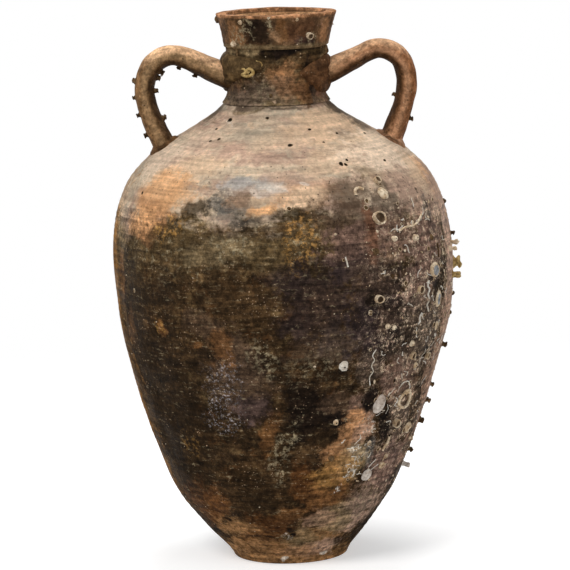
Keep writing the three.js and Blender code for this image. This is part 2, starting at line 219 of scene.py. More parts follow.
def makePiece(name, places, faces, materials, nodes=(), faceTones=None, sharpAngle=45):
    global pieceCount
    mesh = bpy.data.meshes.new(name)
    mesh.from_pydata((np.asarray(places, float) * mm).tolist(), [], faces)
    for material in materials:
        mesh.materials.append(material)
    if faceTones is not None:
        mesh.polygons.foreach_set("material_index", np.asarray(faceTones, dtype=np.int32))
    mesh.polygons.foreach_set("use_smooth", np.ones(len(faces), dtype=bool))
    mesh.validate()
    mesh.update()
    mesh.set_sharp_from_angle(angle=math.radians(sharpAngle))
    piece = bpy.data.objects.new(name, mesh)
    bpy.context.collection.objects.link(piece)
    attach(piece, "root")
    if nodes:
        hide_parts(*nodes)
    pieceCount += 1


def tone(red, green, blue):  # a colour as seen, 0 to 255, to the light values that nodes use
    return tuple(((c / 255 + 0.055) / 1.055) ** 2.4 for c in (red, green, blue)) + (1.0,)


class NodeTree:  # adds nodes, each fed by other nodes or by plain values, and hands on one output
    def __init__(self, owner):
        owner.use_nodes = True
        self.nodes = owner.node_tree.nodes
        self.links = owner.node_tree.links

    def feed(self, socket, value):
        if isinstance(value, bpy.types.NodeSocket):
            self.links.new(value, socket)
        else:
            socket.default_value = value

    def add(self, kind, feeds, output=0, **settings):
        node = self.nodes.new(kind)
        for word, setting in settings.items():
            setattr(node, word, setting)
        for socket, value in feeds.items():
            self.feed(node.inputs[socket], value)
        return node.outputs[output]

    def sum(self, kind, first, second=0.0, third=0.0):
        return self.add("ShaderNodeMath", {0: first, 1: second, 2: third}, operation=kind)

    def both(self, first, second):
        return self.sum("MULTIPLY", first, second)

    def onto(self, first, times, second):  # the first, so many times, on top of the second
        return self.sum("MULTIPLY_ADD", first, times, second)


class Recipe(NodeTree):  # one node material, built from a few plain steps
    def __init__(self, name):
        self.material = bpy.data.materials.new(name)
        super().__init__(self.material)
        self.shader = self.nodes["Principled BSDF"]
        self.coordinates = self.nodes.new("ShaderNodeTexCoord")
        self.place = self.coordinates.outputs["Object"]

    def noise(self, scale, detail=6, rough=0.6, where=None, colour=False):
        feeds = {"Vector": where or self.place, "Scale": scale, "Detail": detail, "Roughness": rough}
        return self.add("ShaderNodeTexNoise", feeds, 1 if colour else 0)

    def cells(self, scale):  # distance to the nearest scattered point
        return self.add("ShaderNodeTexVoronoi", {"Vector": self.place, "Scale": scale}, "Distance")

    def stretch(self, where, factors):
        return self.add("ShaderNodeMapping", {"Vector": where, "Scale": factors})

    def warp(self, where, scale, amount):  # shifts places about at random, so that edges wander
        wander = self.noise(scale, 4, 0.55, where, colour=True)
        feeds = {0: wander, 1: (amount,) * 3, 2: where}
        pushed = self.add("ShaderNodeVectorMath", feeds, operation="MULTIPLY_ADD")
        return self.add("ShaderNodeVectorMath", {0: pushed, 1: (-amount / 2,) * 3})

    def ramp(self, value, low, high, top=1.0, bottom=0.0):
        feeds = {"Value": value, "From Min": low, "From Max": high, "To Min": bottom, "To Max": top}
        return self.add("ShaderNodeMapRange", feeds, interpolation_type="SMOOTHSTEP")

    def mix(self, share, first, second, kind="MIX"):
        feeds = {0: share, 6: first, 7: second}
        return self.add("ShaderNodeMix", feeds, 2, data_type="RGBA", blend_type=kind)

    def coat(self, colour, share, name):  # lays one of the named tones over a colour
        return self.mix(share, colour, paint[name])

    def mottle(self, colour, share, value, top, bottom, low=0.36, high=0.64):  # lightens and darkens a colour
        return self.mix(share, colour, self.ramp(value, low, high, top, bottom), "MULTIPLY")

    def parts(self, vector):  # a vector's right, back and up parts
        return self.add("ShaderNodeSeparateXYZ", {0: vector}).node.outputs

    def height(self):
        return self.parts(self.place)[2]

    def length(self, vector):
        return self.add("ShaderNodeVectorMath", {0: vector}, "Value", operation="LENGTH")

    def nearness(self, where, place, turn, tilt, size):  # 0 at the middle of a patch, 1 at its edge
        lean = (math.radians(tilt), 0, -math.radians(turn))
        feeds = {"Vector": where, "Location": place, "Rotation": lean, "Scale": size}
        return self.length(self.add("ShaderNodeMapping", feeds, vector_type="TEXTURE"))

    def surface(self, values):  # sets or feeds the shader's own sockets
        for word, value in values.items():
            self.feed(self.shader.inputs[word], value)

    def finish(self, colour, rough, relief, reliefDepth):
        bump = self.add("ShaderNodeBump", {"Strength": 1.0, "Distance": reliefDepth, "Height": relief})
        self.surface({"Base Color": colour, "Roughness": rough, "Specular IOR Level": dryGloss})
        self.surface({"Normal": bump})
        return self.material


dryGloss = 0.03  # soaked and dried clay and lime hardly shine


# Named tones. soot is near black: real soot and dark clay, and in marked rows painted shadow and painted
# shade. spark is a painted glint. chalk, greyBlue and violet also serve, in marked rows, as painted
# highlight, sheen and reflection.
tones = {
    "soot": (27, 19, 14),
    "pitch": (42, 30, 17),
    "darkOlive": (58, 45, 27),
    "umber": (72, 53, 33),
    "olive": (94, 76, 50),
    "oliveTan": (124, 105, 76),
    "violet": (52, 42, 43),
    "haze": (86, 67, 52),
    "pinkGrey": (118, 92, 80),
    "palePink": (176, 146, 126),
    "creamFilm": (224, 200, 174),
    "greyBrown": (96, 80, 67),
    "slate": (92, 88, 82),
    "greyFilm": (176, 162, 140),
    "greyBlue": (160, 156, 151),
    "palePlaster": (200, 178, 152),
    "paleTan": (210, 178, 146),
    "sunTan": (218, 166, 118),
    "rustTan": (182, 132, 90),
    "rust": (112, 76, 44),
    "deepRust": (92, 58, 30),
    "rustRed": (110, 74, 54),
    "salmon": (158, 124, 102),
    "redBrown": (90, 58, 38),
    "ochre": (160, 118, 66),
    "gold": (160, 120, 66),
    "khaki": (150, 136, 108),
    "chalk": (238, 230, 216),
    "spark": (168, 162, 164),
    "footTan": (156, 116, 76),
    "amber": (128, 88, 38),
}
paint = {name: tone(*seen) for name, seen in tones.items()}

# Stains on the body, and in the rows marked below painted shadow, shade, sheen and glints: angle, height,
# width, tallness, tilt, tone, strength, raggedness, and what speckles some
bodyStainsAndPaintedLight = [
    # the film on the shoulder
    (107, 434, 70, 18, -4, "greyFilm", 0.6, 0.8),
    (138, 428, 70, 22, 8, "palePink", 0.5, 0.8),
    (80, 428, 80, 20, 0, "paleTan", 0.4, 0.8),
    (68, 408, 90, 24, 4, "paleTan", 0.5, 0.8),
    (34, 436, 130, 50, 0, "paleTan", 0.85, 0.8),
    (14, 408, 80, 60, 0, "paleTan", 0.85, 0.8),
    (42, 430, 30, 12, 10, "slate", 0.35, 0.8),
    (33, 414, 50, 20, 20, "palePink", 0.6, 0.8),
    (132, 404, 76, 30, 14, "paleTan", 0.8, 0.6),
    (141, 384, 74, 50, 16, "sunTan", 0.85, 0.5),
    (143, 362, 56, 44, 8, "rustTan", 0.75, 0.7),
    (163, 372, 40, 80, 0, "greyFilm", 0.7, 0.5),
    (156, 350, 34, 50, 0, "palePink", 0.6, 0.7),
    # painted sheen: this grey-blue patch stands for the soft highlight on the left of the shoulder
    (106, 391, 50, 13, -6, "greyBlue", 0.45, 0.8),
    (132, 386, 56, 40, 14, "sunTan", 0.5, 0.9),
    (80, 384, 80, 26, 0, "sunTan", 0.35, 0.9),
    (160, 414, 60, 40, 0, "creamFilm", 0.6, 0.8),
    (22, 414, 130, 44, 0, "creamFilm", 0.85, 0.8),
    (24, 380, 50, 34, 0, "paleTan", 0.5, 0.9),
    (16, 384, 70, 60, 0, "paleTan", 0.85, 0.8),
    (30, 352, 50, 44, 0, "salmon", 0.6, 0.9),
    # painted sheen: a grey-blue patch for the same soft highlight
    (100, 389, 70, 16, -4, "greyBlue", 0.7, 0.7),
    (84, 396, 60, 16, -3, "palePink", 0.6, 0.8),
    # painted highlight: these three chalk-toned streaks stand for the white-blue glint on the shoulder, not
    # for chalk
    (99, 384, 16, 5, -8, "chalk", 0.45, 0.9),
    (81, 392, 14, 5, -8, "chalk", 0.35, 0.9),
    (93, 388, 40, 7, -4, "chalk", 0.3, 1.0),
    (82, 379, 60, 16, 10, "paleTan", 0.85, 0.7),
    (110, 376, 50, 18, 4, "slate", 0.8, 0.8),
    (122, 370, 34, 16, 14, "darkOlive", 0.8, 0.8),
    (105, 366, 60, 18, 0, "slate", 0.6, 0.9),
    (108, 352, 64, 18, 4, "umber", 0.6, 0.9),
    (144, 348, 50, 34, 0, "rustTan", 0.8, 0.8),
    (148, 354, 50, 30, 0, "sunTan", 0.45, 0.9),
    (168, 362, 60, 60, 0, "paleTan", 0.6, 0.8),
    (98, 380, 60, 22, 0, "rustTan", 0.3, 0.9),
    (96, 370, 34, 11, 14, "sunTan", 0.9, 0.5),
    (101, 361, 70, 12, 4, "soot", 0.6, 0.8),
    (82, 366, 60, 12, 6, "darkOlive", 0.6, 0.9),
    (64, 382, 66, 32, 14, "haze", 0.8, 0.7),
    (67, 362, 66, 36, 0, "haze", 0.75, 0.8),
    (46, 392, 50, 14, -12, "oliveTan", 0.5, 0.9),
    (48, 374, 50, 40, 0, "greyBrown", 0.8, 0.9),
    (38, 384, 40, 26, -20, "palePink", 0.75, 0.8),
    (33, 366, 50, 50, 0, "palePink", 0.65, 0.9),
    (12, 376, 40, 80, 0, "sunTan", 0.8, 0.6),
    (22, 356, 50, 50, 0, "palePink", 0.6, 0.9),
    (27, 352, 20, 30, 0, "slate", 0.7, 0.9),
    (14, 450, 40, 22, 0, "darkOlive", 0.85, 0.7),
    (8, 436, 44, 16, 0, "darkOlive", 0.7, 0.8),
    (168, 452, 36, 20, 0, "darkOlive", 0.8, 0.7),
    (128, 447, 24, 6, -30, "chalk", 0.4, 0.9, "fleck"),
    # the band below it, where film and dark clay meet
    (137, 342, 40, 18, 10, "darkOlive", 0.7, 0.9),
    (130, 352, 34, 20, 10, "gold", 0.9, 0.9, "fleck"),
    (136, 344, 24, 22, 0, "gold", 0.9, 0.9, "fleck"),
    (108, 338, 60, 34, 0, "oliveTan", 0.7, 1.0),
    (106, 340, 50, 30, 0, "khaki", 0.8, 1.0, "fleck"),
    (120, 330, 40, 26, 0, "pitch", 0.6, 0.9),
    (92, 352, 50, 16, 4, "umber", 0.7, 0.9),
    (84, 343, 34, 46, 0, "ochre", 0.7, 0.9, "fleck"),
    (84, 332, 40, 40, 0, "gold", 0.45, 1.0, "fleck"),
    (95, 330, 44, 34, 0, "olive", 0.6, 0.9),
    (76, 318, 40, 40, 0, "pitch", 0.6, 0.9),
    (64, 338, 70, 42, 0, "pinkGrey", 0.75, 0.9),
    (66, 306, 50, 26, 0, "violet", 0.5, 0.9),
    (66, 326, 70, 30, 0, "pinkGrey", 0.6, 0.9),
    (120, 326, 40, 28, 0, "oliveTan", 0.7, 0.9),
    (173, 330, 50, 34, 0, "ochre", 0.6, 0.9),
    (52, 326, 60, 34, 0, "salmon", 0.35, 0.9),
    (119, 262, 40, 30, 0, "haze", 0.5, 1.0),
    (152, 320, 40, 36, 0, "pitch", 0.5, 0.9),
    (59, 345, 16, 62, 0, "rustRed", 0.55, 0.8),
    (46, 340, 60, 54, 0, "pinkGrey", 0.7, 0.9),
    (28, 330, 60, 50, 0, "pinkGrey", 0.8, 1.0),
    (160, 338, 40, 40, 0, "oliveTan", 0.7, 0.8),
    # dark body, left and middle
    (150, 300, 60, 80, 0, "darkOlive", 0.5, 0.9),
    (139, 180, 100, 210, 0, "pitch", 0.9, 0.7),
    (150, 180, 80, 200, 0, "pitch", 0.6, 0.9),
    (108, 280, 50, 44, 0, "umber", 0.7, 0.9),
    (108, 215, 60, 90, 0, "haze", 0.75, 0.9),
    (112, 236, 28, 34, 0, "rust", 0.7, 1.0),
    (104, 176, 26, 34, 0, "pinkGrey", 0.45, 1.0),
    (98, 228, 30, 40, 0, "khaki", 0.6, 1.0, "fleck"),
    # painted glints: the next two rows speckle the sparkle of a soft reflection onto the dark body
    (112, 205, 40, 50, -8, "spark", 0.8, 1.0, "spark"),
    (114, 172, 36, 56, -8, "spark", 0.85, 1.0, "spark"),
    (97, 150, 20, 50, -8, "rust", 0.65, 0.8),
    # painted reflection: this violet patch stands for the sheen of a soft reflection on the rough body
    (103, 178, 34, 40, 0, "violet", 0.6, 0.9),
    (82, 172, 46, 80, 6, "soot", 0.85, 0.8),
    (80, 218, 60, 40, 0, "khaki", 0.5, 1.0, "fleck"),
    (84, 232, 40, 40, 0, "haze", 0.4, 1.0),
    (72, 240, 50, 40, 0, "greyBrown", 0.45, 1.0),
    (135, 257, 12, 18, 0, "rust", 0.8, 1.0),
    (135, 256, 9, 13, 0, "gold", 0.8, 1.0, "fleck"),
    (121, 238, 12, 11, 0, "rust", 0.8, 0.9),
    (160, 300, 18, 60, 0, "rust", 0.5, 0.9),
    (135, 94, 36, 40, 0, "pitch", 0.6, 0.9),
    (130, 62, 30, 52, -34, "rust", 1.0, 0.7),
    (118, 46, 40, 24, -20, "footTan", 0.6, 0.8),
    (104, 70, 34, 34, 0, "pitch", 0.5, 0.9),
    (124, 86, 34, 22, 0, "pitch", 0.5, 0.9),
    (136, 40, 30, 24, 0, "footTan", 0.6, 0.9),
    (108, 92, 40, 40, -10, "pitch", 0.8, 0.8),
    (90, 128, 26, 60, -10, "khaki", 0.7, 1.0, "fleck"),
    (136, 132, 30, 30, 0, "gold", 0.4, 1.0, "fleck"),
    (80, 96, 30, 60, 0, "deepRust", 0.7, 0.9),
    (140, 60, 60, 60, 20, "deepRust", 0.7, 0.9),
    (122, 40, 60, 30, -10, "footTan", 0.7, 0.9),
    (94, 36, 60, 18, 0, "deepRust", 0.8, 0.9),
    (62, 34, 70, 34, 0, "footTan", 0.6, 1.0),
    (100, 52, 60, 20, -6, "deepRust", 0.7, 1.0),
    (84, 62, 40, 26, 10, "rust", 0.6, 1.0),
    (42, 60, 70, 70, 0, "palePink", 0.6, 1.0),
    (44, 44, 40, 36, 0, "palePink", 0.6, 0.9),
    # right flank
    (80, 282, 90, 90, 0, "violet", 0.5, 0.9),
    (58, 266, 80, 100, 0, "violet", 0.75, 0.8),
    (60, 294, 60, 36, 0, "haze", 0.45, 0.9),
    (38, 300, 56, 80, 0, "pinkGrey", 0.9, 0.9),
    (54, 262, 40, 40, 0, "haze", 0.5, 0.9),
    (42, 190, 60, 70, 0, "salmon", 0.4, 0.9),
    (70, 174, 40, 26, 0, "haze", 0.6, 0.9),
    (60, 172, 30, 30, 0, "pinkGrey", 0.5, 0.9),
    (36, 235, 70, 90, 0, "greyBrown", 0.75, 0.9),
    (46, 190, 50, 50, 0, "pinkGrey", 0.65, 1.0),
    (58, 212, 30, 40, 0, "greyBrown", 0.6, 1.0),
    (10, 290, 50, 200, 0, "palePink", 0.8, 0.7),
    (12, 180, 40, 140, 0, "pinkGrey", 0.85, 0.8),
    (38, 150, 50, 60, 0, "greyBrown", 0.7, 1.0),
    (43, 232, 40, 26, 0, "soot", 0.6, 0.9),
    # painted shadows: the next four dark rows stand for the shade beside the shells and tubes on the flank
    (56, 178, 22, 34, 0, "soot", 0.95, 0.6),
    (70, 158, 20, 16, 0, "soot", 0.9, 0.6),
    (47, 140, 16, 44, 0, "soot", 0.9, 0.7),
    (30, 291, 16, 40, 0, "soot", 0.7, 0.7),
    (60, 146, 40, 40, -10, "rustTan", 0.7, 0.8),
    (58, 150, 30, 34, -10, "salmon", 0.7, 0.9),
    (64, 124, 46, 44, 0, "rustTan", 0.55, 1.0),
    (59, 112, 30, 50, 0, "khaki", 0.6, 0.9),
    (66, 100, 50, 40, 0, "ochre", 0.6, 1.0),
    (52, 118, 12, 40, 10, "slate", 0.7, 0.8),
    (68, 74, 60, 44, 0, "rust", 0.8, 0.9),
    (36, 100, 60, 70, 0, "pinkGrey", 0.85, 0.9),
    (60, 50, 60, 44, 0, "oliveTan", 0.8, 0.9),
    (42, 66, 50, 50, 0, "khaki", 0.5, 1.0, "fleck"),
    (71, 52, 40, 30, 0, "salmon", 0.5, 1.0),
    (60, 124, 14, 14, 0, "chalk", 0.7, 0.9, "fleck"),
    (57, 146, 24, 30, -25, "chalk", 0.8, 1.0, "fleck"),
    (60, 99, 14, 12, 0, "chalk", 0.8, 0.9, "fleck"),
    (64, 84, 10, 10, 0, "chalk", 0.7, 0.9, "fleck"),
    # foot
    (113, 26, 70, 30, 0, "rust", 0.7, 0.8),
    (72, 14, 60, 22, 0, "salmon", 0.6, 0.9),
    (56, 18, 40, 24, 0, "palePink", 0.55, 0.9),
    (129, 22, 40, 24, 0, "footTan", 0.85, 0.8),
    (92, 14, 70, 22, 0, "footTan", 0.55, 0.8),
    (108, 31, 60, 4, 0, "pitch", 0.7, 0.7),
    (80, 30, 44, 30, 0, "oliveTan", 0.6, 0.9),
    (88, 38, 16, 7, 0, "soot", 0.9, 0.7),
    (91, 32, 12, 8, 0, "chalk", 0.5, 0.9, "fleck"),
    (94, 4, 12, 7, 0, "chalk", 0.7, 0.9),
    (57, 7, 9, 7, 0, "chalk", 0.7, 0.9),
    # neck
    (88, 466, 110, 14, 0, "oliveTan", 0.5, 0.9),
    (76, 486, 32, 30, 0, "rustTan", 0.45, 1.0),
    (80, 486, 30, 24, 0, "rustTan", 0.7, 1.0, "fleck"),
    (84, 476, 60, 24, 0, "greyBrown", 0.45, 1.0),
    (116, 474, 40, 32, 0, "greyBrown", 0.7, 0.8),
    (110, 476, 30, 40, 0, "khaki", 0.35, 1.0, "fleck"),
    (126, 478, 16, 26, 0, "darkOlive", 0.8, 1.0, "fleck"),
    (92, 466, 3.5, 3.5, 0, "paleTan", 0.9, 0.3),
    (47, 475, 26, 36, 0, "violet", 0.6, 0.9),
    (50, 496, 3, 26, 0, "soot", 0.7, 0.6),
    (138, 470, 30, 24, 0, "greyBrown", 0.7, 0.9),
    (20, 477, 36, 44, 0, "rustRed", 0.7, 0.8),
    (47, 486, 12, 44, 6, "soot", 0.75, 0.7),
    (55, 476, 18, 40, 0, "rust", 0.6, 0.9),
    (152, 492, 46, 30, 0, "redBrown", 0.7, 0.8),
    # painted shadow: the next two rows stand for the collar's shadow on the neck just under it
    (92, 513, 30, 14, 0, "soot", 1.0, 0.15),
    (72, 513, 36, 14, 0, "soot", 1.0, 0.15),
    (118, 508, 40, 12, 0, "darkOlive", 0.7, 0.9),
    (40, 511, 40, 12, 0, "darkOlive", 0.8, 0.7),
    # painted shade: a dark line for the shade under the neck's ledge
    (84, 459, 60, 3, -2, "soot", 0.6, 0.25),
    (122, 459, 44, 5, 0, "oliveTan", 0.6, 0.8),
    # the side away from the light
    (228, 330, 150, 120, 20, "umber", 0.8, 0.9),
    (205, 230, 120, 160, 10, "haze", 0.6, 1.0),
    (250, 200, 120, 160, -20, "pitch", 0.8, 0.9),
    (300, 250, 140, 90, 10, "pinkGrey", 0.7, 1.0),
    (330, 200, 80, 160, 0, "greyBrown", 0.7, 1.0),
    (275, 120, 90, 80, 0, "rust", 0.8, 0.9),
    (320, 130, 90, 70, 30, "rustRed", 0.6, 1.0),
    (240, 392, 120, 40, 0, "sunTan", 0.6, 0.9),
    (270, 350, 60, 40, 0, "ochre", 0.7, 1.0, "fleck"),
    (300, 388, 100, 34, 8, "greyBlue", 0.7, 0.9),
]
# Laid last, over the flank's crust: stains, and painted shadows round the growth
overStainsAndShadows = [
    # painted shadows: the next seven dark rows stand for the shade round the shells, cups and beads on the
    # flank
    (57.5, 176, 17, 28, 0, "soot", 1.0, 0.35),
    (73, 158, 16, 13, 0, "soot", 0.95, 0.4),
    (48, 148, 14, 36, 0, "soot", 0.9, 0.5),
    (33, 296, 12, 26, 0, "soot", 0.8, 0.5),
    (62, 278, 12, 12, 0, "soot", 0.85, 0.4),
    (58, 352, 12, 12, 0, "soot", 0.6, 0.5),
    (71, 213, 9, 10, 0, "soot", 0.8, 0.5),
    (62, 152, 26, 34, -14, "rustTan", 0.85, 0.6),
    (58, 140, 26, 26, -10, "salmon", 0.7, 0.8),
    (59, 345, 12, 60, 0, "rustRed", 0.5, 0.8),
    (8, 320, 70, 190, 0, "palePink", 0.95, 0.95),
    (12, 190, 70, 170, 0, "salmon", 0.6, 0.8),
    (10, 215, 36, 130, 0, "palePink", 0.5, 0.9),
    (170, 240, 60, 300, 2, "amber", 0.85, 0.8),
    (163, 215, 24, 200, 2, "pitch", 0.7, 0.8),
    (178, 100, 60, 200, 0, "amber", 0.8, 0.8),
    (155, 250, 20, 40, 0, "rust", 0.35, 1.0),
    (136, 258, 12, 22, 0, "gold", 0.7, 0.8, "fleck"),
]
collarStains = [
    (136, 534, 40, 40, 0, "umber", 0.8, 0.9),
    (136, 530, 26, 26, 0, "rustTan", 0.4, 0.9),
    (100, 520, 40, 12, 0, "umber", 0.6, 0.9),
    (70, 534, 46, 30, 0, "redBrown", 0.6, 0.9),
    (62, 524, 30, 16, 0, "violet", 0.6, 0.9),
    (84, 542, 40, 10, 0, "umber", 0.5, 0.9),
    (30, 532, 24, 36, 6, "rustTan", 0.55, 0.9),
    (40, 530, 14, 36, 6, "salmon", 0.5, 0.9, "fleck"),
    (109, 534, 40, 25, 4, "soot", 0.85, 0.7),
    (100, 539, 30, 16, 0, "soot", 0.6, 0.9),
    (86, 533, 14, 30, 0, "rust", 0.6, 0.9),
    (132, 527, 24, 20, 0, "khaki", 0.8, 1.0, "fleck"),
    (98, 537, 9, 22, -6, "khaki", 0.9, 1.0, "fleck"),
    (122, 540, 20, 14, 0, "khaki", 0.7, 1.0, "fleck"),
    (54, 525, 24, 20, 0, "khaki", 0.8, 0.9, "fleck"),
    (230, 532, 60, 40, 0, "umber", 0.8, 0.9),
    (300, 536, 40, 30, 0, "soot", 0.7, 0.9),
]


# lays one row over a colour: a stain, or in the marked rows painted shadow, shade or sheen
def stainAndPaintedLight(recipe, colour, where, edge, specks, line, row):
    angle, height, width, tall, tilt, name, strength, ragged, *speckled = row
    radius = float(line.at(line.runAt(height))[0])
    place = roundJar(radius, height, math.radians(angle)) * mm
    size = (max(width, tall, 40) * 0.5 * mm, width * 0.5 * mm, tall * 0.5 * mm)
    nearness = recipe.nearness(where, place, angle, tilt, size)
    share = recipe.ramp(recipe.onto(edge, ragged, nearness), 1.2, 0.62, strength)
    for speck in speckled:
        share = recipe.both(share, specks[speck])
    return recipe.coat(colour, share, name)


def tornEdge(recipe):  # coarse and fine wander of every patch's edge, about -0.5 to 0.5
    coarse = recipe.onto(recipe.noise(24, 10, 0.7), 3.0, -1.5)
    fine = recipe.onto(recipe.noise(120, 8, 0.74), 2.2, -1.1)
    return recipe.sum("ADD", coarse, fine)


def speckles(recipe, scale, spot, where, thick):  # scattered spots, thicker where the other noise is high
    return recipe.both(recipe.ramp(recipe.cells(scale), *spot), recipe.ramp(where, *thick))


def net(recipe, scale, where, thinness):  # fine wandering lines
    off = recipe.sum("ABSOLUTE", recipe.sum("SUBTRACT", recipe.noise(scale, 4, 0.6, where), 0.5))
    return recipe.ramp(off, thinness, thinness * 0.3)


def drawnLines(recipe, detail, warpScale, warpAmount, around, up):  # lines that the turning wheel left
    where = recipe.stretch(recipe.warp(recipe.place, warpScale, warpAmount), (around, around, up))
    return recipe.noise(1, detail, 0.6, where)


def reaches(row, low, high, middle):  # whether a stain or a painted shadow, shade or sheen touches one side of one piece
    angle, height, width, tall, tilt = row[:5]
    lean = abs(math.sin(math.radians(tilt)))
    upward = 0.8 * (tall + width * lean) + 8
    aside = math.degrees((0.8 * (width + tall * lean) + 8) / float(wall.at(wall.runAt(height))[0]))
    apart = abs((angle - middle + 180) % 360 - 180)
    return low - upward < height < high + upward and apart < 90 + aside


def bodyClay(piece, low, high, side):  # the body's one clay, with the stains and the painted shadow, shade and sheen that reach this part of it
    recipe = Recipe(f"soaked clay, {side} of the {piece}")
    warped = recipe.warp(recipe.warp(recipe.place, 13, 0.03), 60, 0.014)
    streaked = recipe.stretch(warped, (1, 1, 4.0))
    edge = tornEdge(recipe)
    broad = recipe.noise(9, 6, 0.62)
    medium = recipe.noise(34, 10, 0.72, warped)
    blotch = recipe.noise(80, 9, 0.72)
    fine = recipe.noise(210, 8, 0.76)
    grain = recipe.noise(620, 4, 0.7)
    wheel = drawnLines(recipe, 3, 20, 0.004, 10, 330)
    specks = {
        "fleck": recipe.ramp(recipe.noise(200, 7, 0.74), 0.5, 0.58),
        # fine speckles for the painted glints
        "spark": recipe.ramp(recipe.noise(380, 6, 0.78), 0.53, 0.64),
    }
    height = recipe.height()

    def addStainsAndPaintedLight(colour, rows):
        for row in rows:
            if reaches(row, low, high, jar["sides"][side]):
                colour = stainAndPaintedLight(recipe, colour, warped, edge, specks, wall, row)
        return colour

    colour = recipe.mix(recipe.ramp(medium, 0.38, 0.64), paint["pitch"], paint["umber"])
    colour = recipe.coat(colour, recipe.ramp(broad, 0.5, 0.7, 0.6), "soot")
    colour = recipe.coat(colour, recipe.ramp(blotch, 0.52, 0.68, 0.6), "olive")
    colour = recipe.coat(colour, recipe.ramp(recipe.noise(50, 9, 0.7, warped), 0.57, 0.67, 0.4), "deepRust")

    # Browner clay just under the film
    under = recipe.onto(edge, 0.03, height)
    colour = recipe.coat(colour, recipe.ramp(under, 0.3, 0.35, 0.75), "olive")
    dusty = recipe.ramp(recipe.noise(140, 8, 0.76), 0.54, 0.62)
    colour = recipe.coat(colour, recipe.both(dusty, recipe.ramp(under, 0.28, 0.34, 0.6)), "khaki")

    # The pale film on the shoulder, torn at its lower edge
    torn = recipe.onto(recipe.noise(11, 6, 0.62, streaked), 0.1, height)
    torn = recipe.onto(edge, 0.012, torn)
    film = recipe.both(recipe.ramp(torn, 0.4, 0.424), recipe.ramp(height, 0.4615, 0.459))
    pinker = recipe.ramp(recipe.noise(13, 8, 0.66, streaked), 0.42, 0.6)
    filmTone = recipe.mix(pinker, paint["palePlaster"], paint["palePink"])
    greyer = recipe.ramp(recipe.noise(24, 8, 0.7, streaked), 0.5, 0.64, 0.8)
    filmTone = recipe.coat(filmTone, greyer, "greyFilm")
    filmTone = recipe.coat(filmTone, recipe.ramp(blotch, 0.54, 0.66, 0.6), "paleTan")
    thin = recipe.ramp(recipe.noise(30, 10, 0.74, streaked), 0.57, 0.68, 0.55)
    filmTone = recipe.coat(filmTone, thin, "olive")
    colour = recipe.mix(film, colour, filmTone)

    # The neck is browner, and the foot is rubbed to tan
    neckTone = recipe.mix(recipe.ramp(medium, 0.4, 0.62), paint["umber"], paint["oliveTan"])
    colour = recipe.mix(recipe.ramp(height, 0.4602, 0.4622), colour, neckTone)
    colour = recipe.coat(colour, recipe.ramp(recipe.onto(edge, 0.02, height), 0.03, 0.004, 0.9), "footTan")

    colour = addStainsAndPaintedLight(colour, bodyStainsAndPaintedLight)

    # Chalky threads and crust on the right flank
    if side == "right":
        flank = recipe.nearness(warped, roundJar(158, 255, math.radians(30)) * mm, 30, 0, (0.12, 0.1, 0.2))
        flank = recipe.ramp(flank, 1.1, 0.55)
        threads = recipe.sum("MAXIMUM", net(recipe, 60, warped, 0.014), net(recipe, 130, warped, 0.019))
        threads = recipe.both(threads, recipe.ramp(blotch, 0.47, 0.57))
        colour = recipe.coat(colour, recipe.both(threads, recipe.both(flank, 0.85)), "palePlaster")
        crusted = recipe.both(flank, recipe.ramp(medium, 0.42, 0.56))
        colour = recipe.coat(colour, recipe.both(recipe.ramp(fine, 0.55, 0.63, 0.85), crusted), "palePink")
        hollows = recipe.both(recipe.ramp(recipe.noise(110, 8, 0.75), 0.44, 0.37, 0.8), flank)
        colour = recipe.coat(colour, hollows, "soot")

    colour = addStainsAndPaintedLight(colour, overStainsAndShadows)

    # Fine drawn lines round the jar, light and dark, and flecks
    lines = drawnLines(recipe, 3, 30, 0.006, 22, 240)
    colour = recipe.mottle(colour, recipe.ramp(film, 0, 1, 0.22, 0.7), lines, 1.5, 0.5, 0.34, 0.66)
    scratches = recipe.ramp(drawnLines(recipe, 2, 60, 0.01, 60, 520), 0.58, 0.68, 0.5)
    scratches = recipe.both(scratches, recipe.ramp(fine, 0.48, 0.6, 0.9))
    scratches = recipe.both(scratches, recipe.ramp(height, 0.46, 0.42))
    colour = recipe.coat(colour, scratches, "khaki")
    flecks = speckles(recipe, 310, (0.22, 0.1), medium, (0.5, 0.62, 0.6))
    colour = recipe.coat(colour, flecks, "paleTan")
    holes = speckles(recipe, 150, (0.14, 0.06), broad, (0.42, 0.58, 0.85))
    colour = recipe.coat(colour, holes, "soot")
    even = recipe.ramp(film, 0, 1, 0.34, 1.0)  # the film is the smoother skin
    colour = recipe.mottle(colour, even, blotch, 1.3, 0.72)
    colour = recipe.mottle(colour, even, fine, 1.6, 0.5)
    colour = recipe.mottle(colour, 0.6, wheel, 1.2, 0.72, 0.34, 0.66)

    relief = recipe.onto(fine, 1.2, recipe.both(grain, 0.5))
    relief = recipe.onto(blotch, 1.2, relief)
    relief = recipe.onto(wheel, 0.35, relief)
    relief = recipe.onto(holes, -0.8, relief)
    rough = recipe.ramp(recipe.noise(30, 6, 0.6), 0.35, 0.65, 0.74, 0.48)
    return recipe.finish(colour, rough, relief, 0.0013)
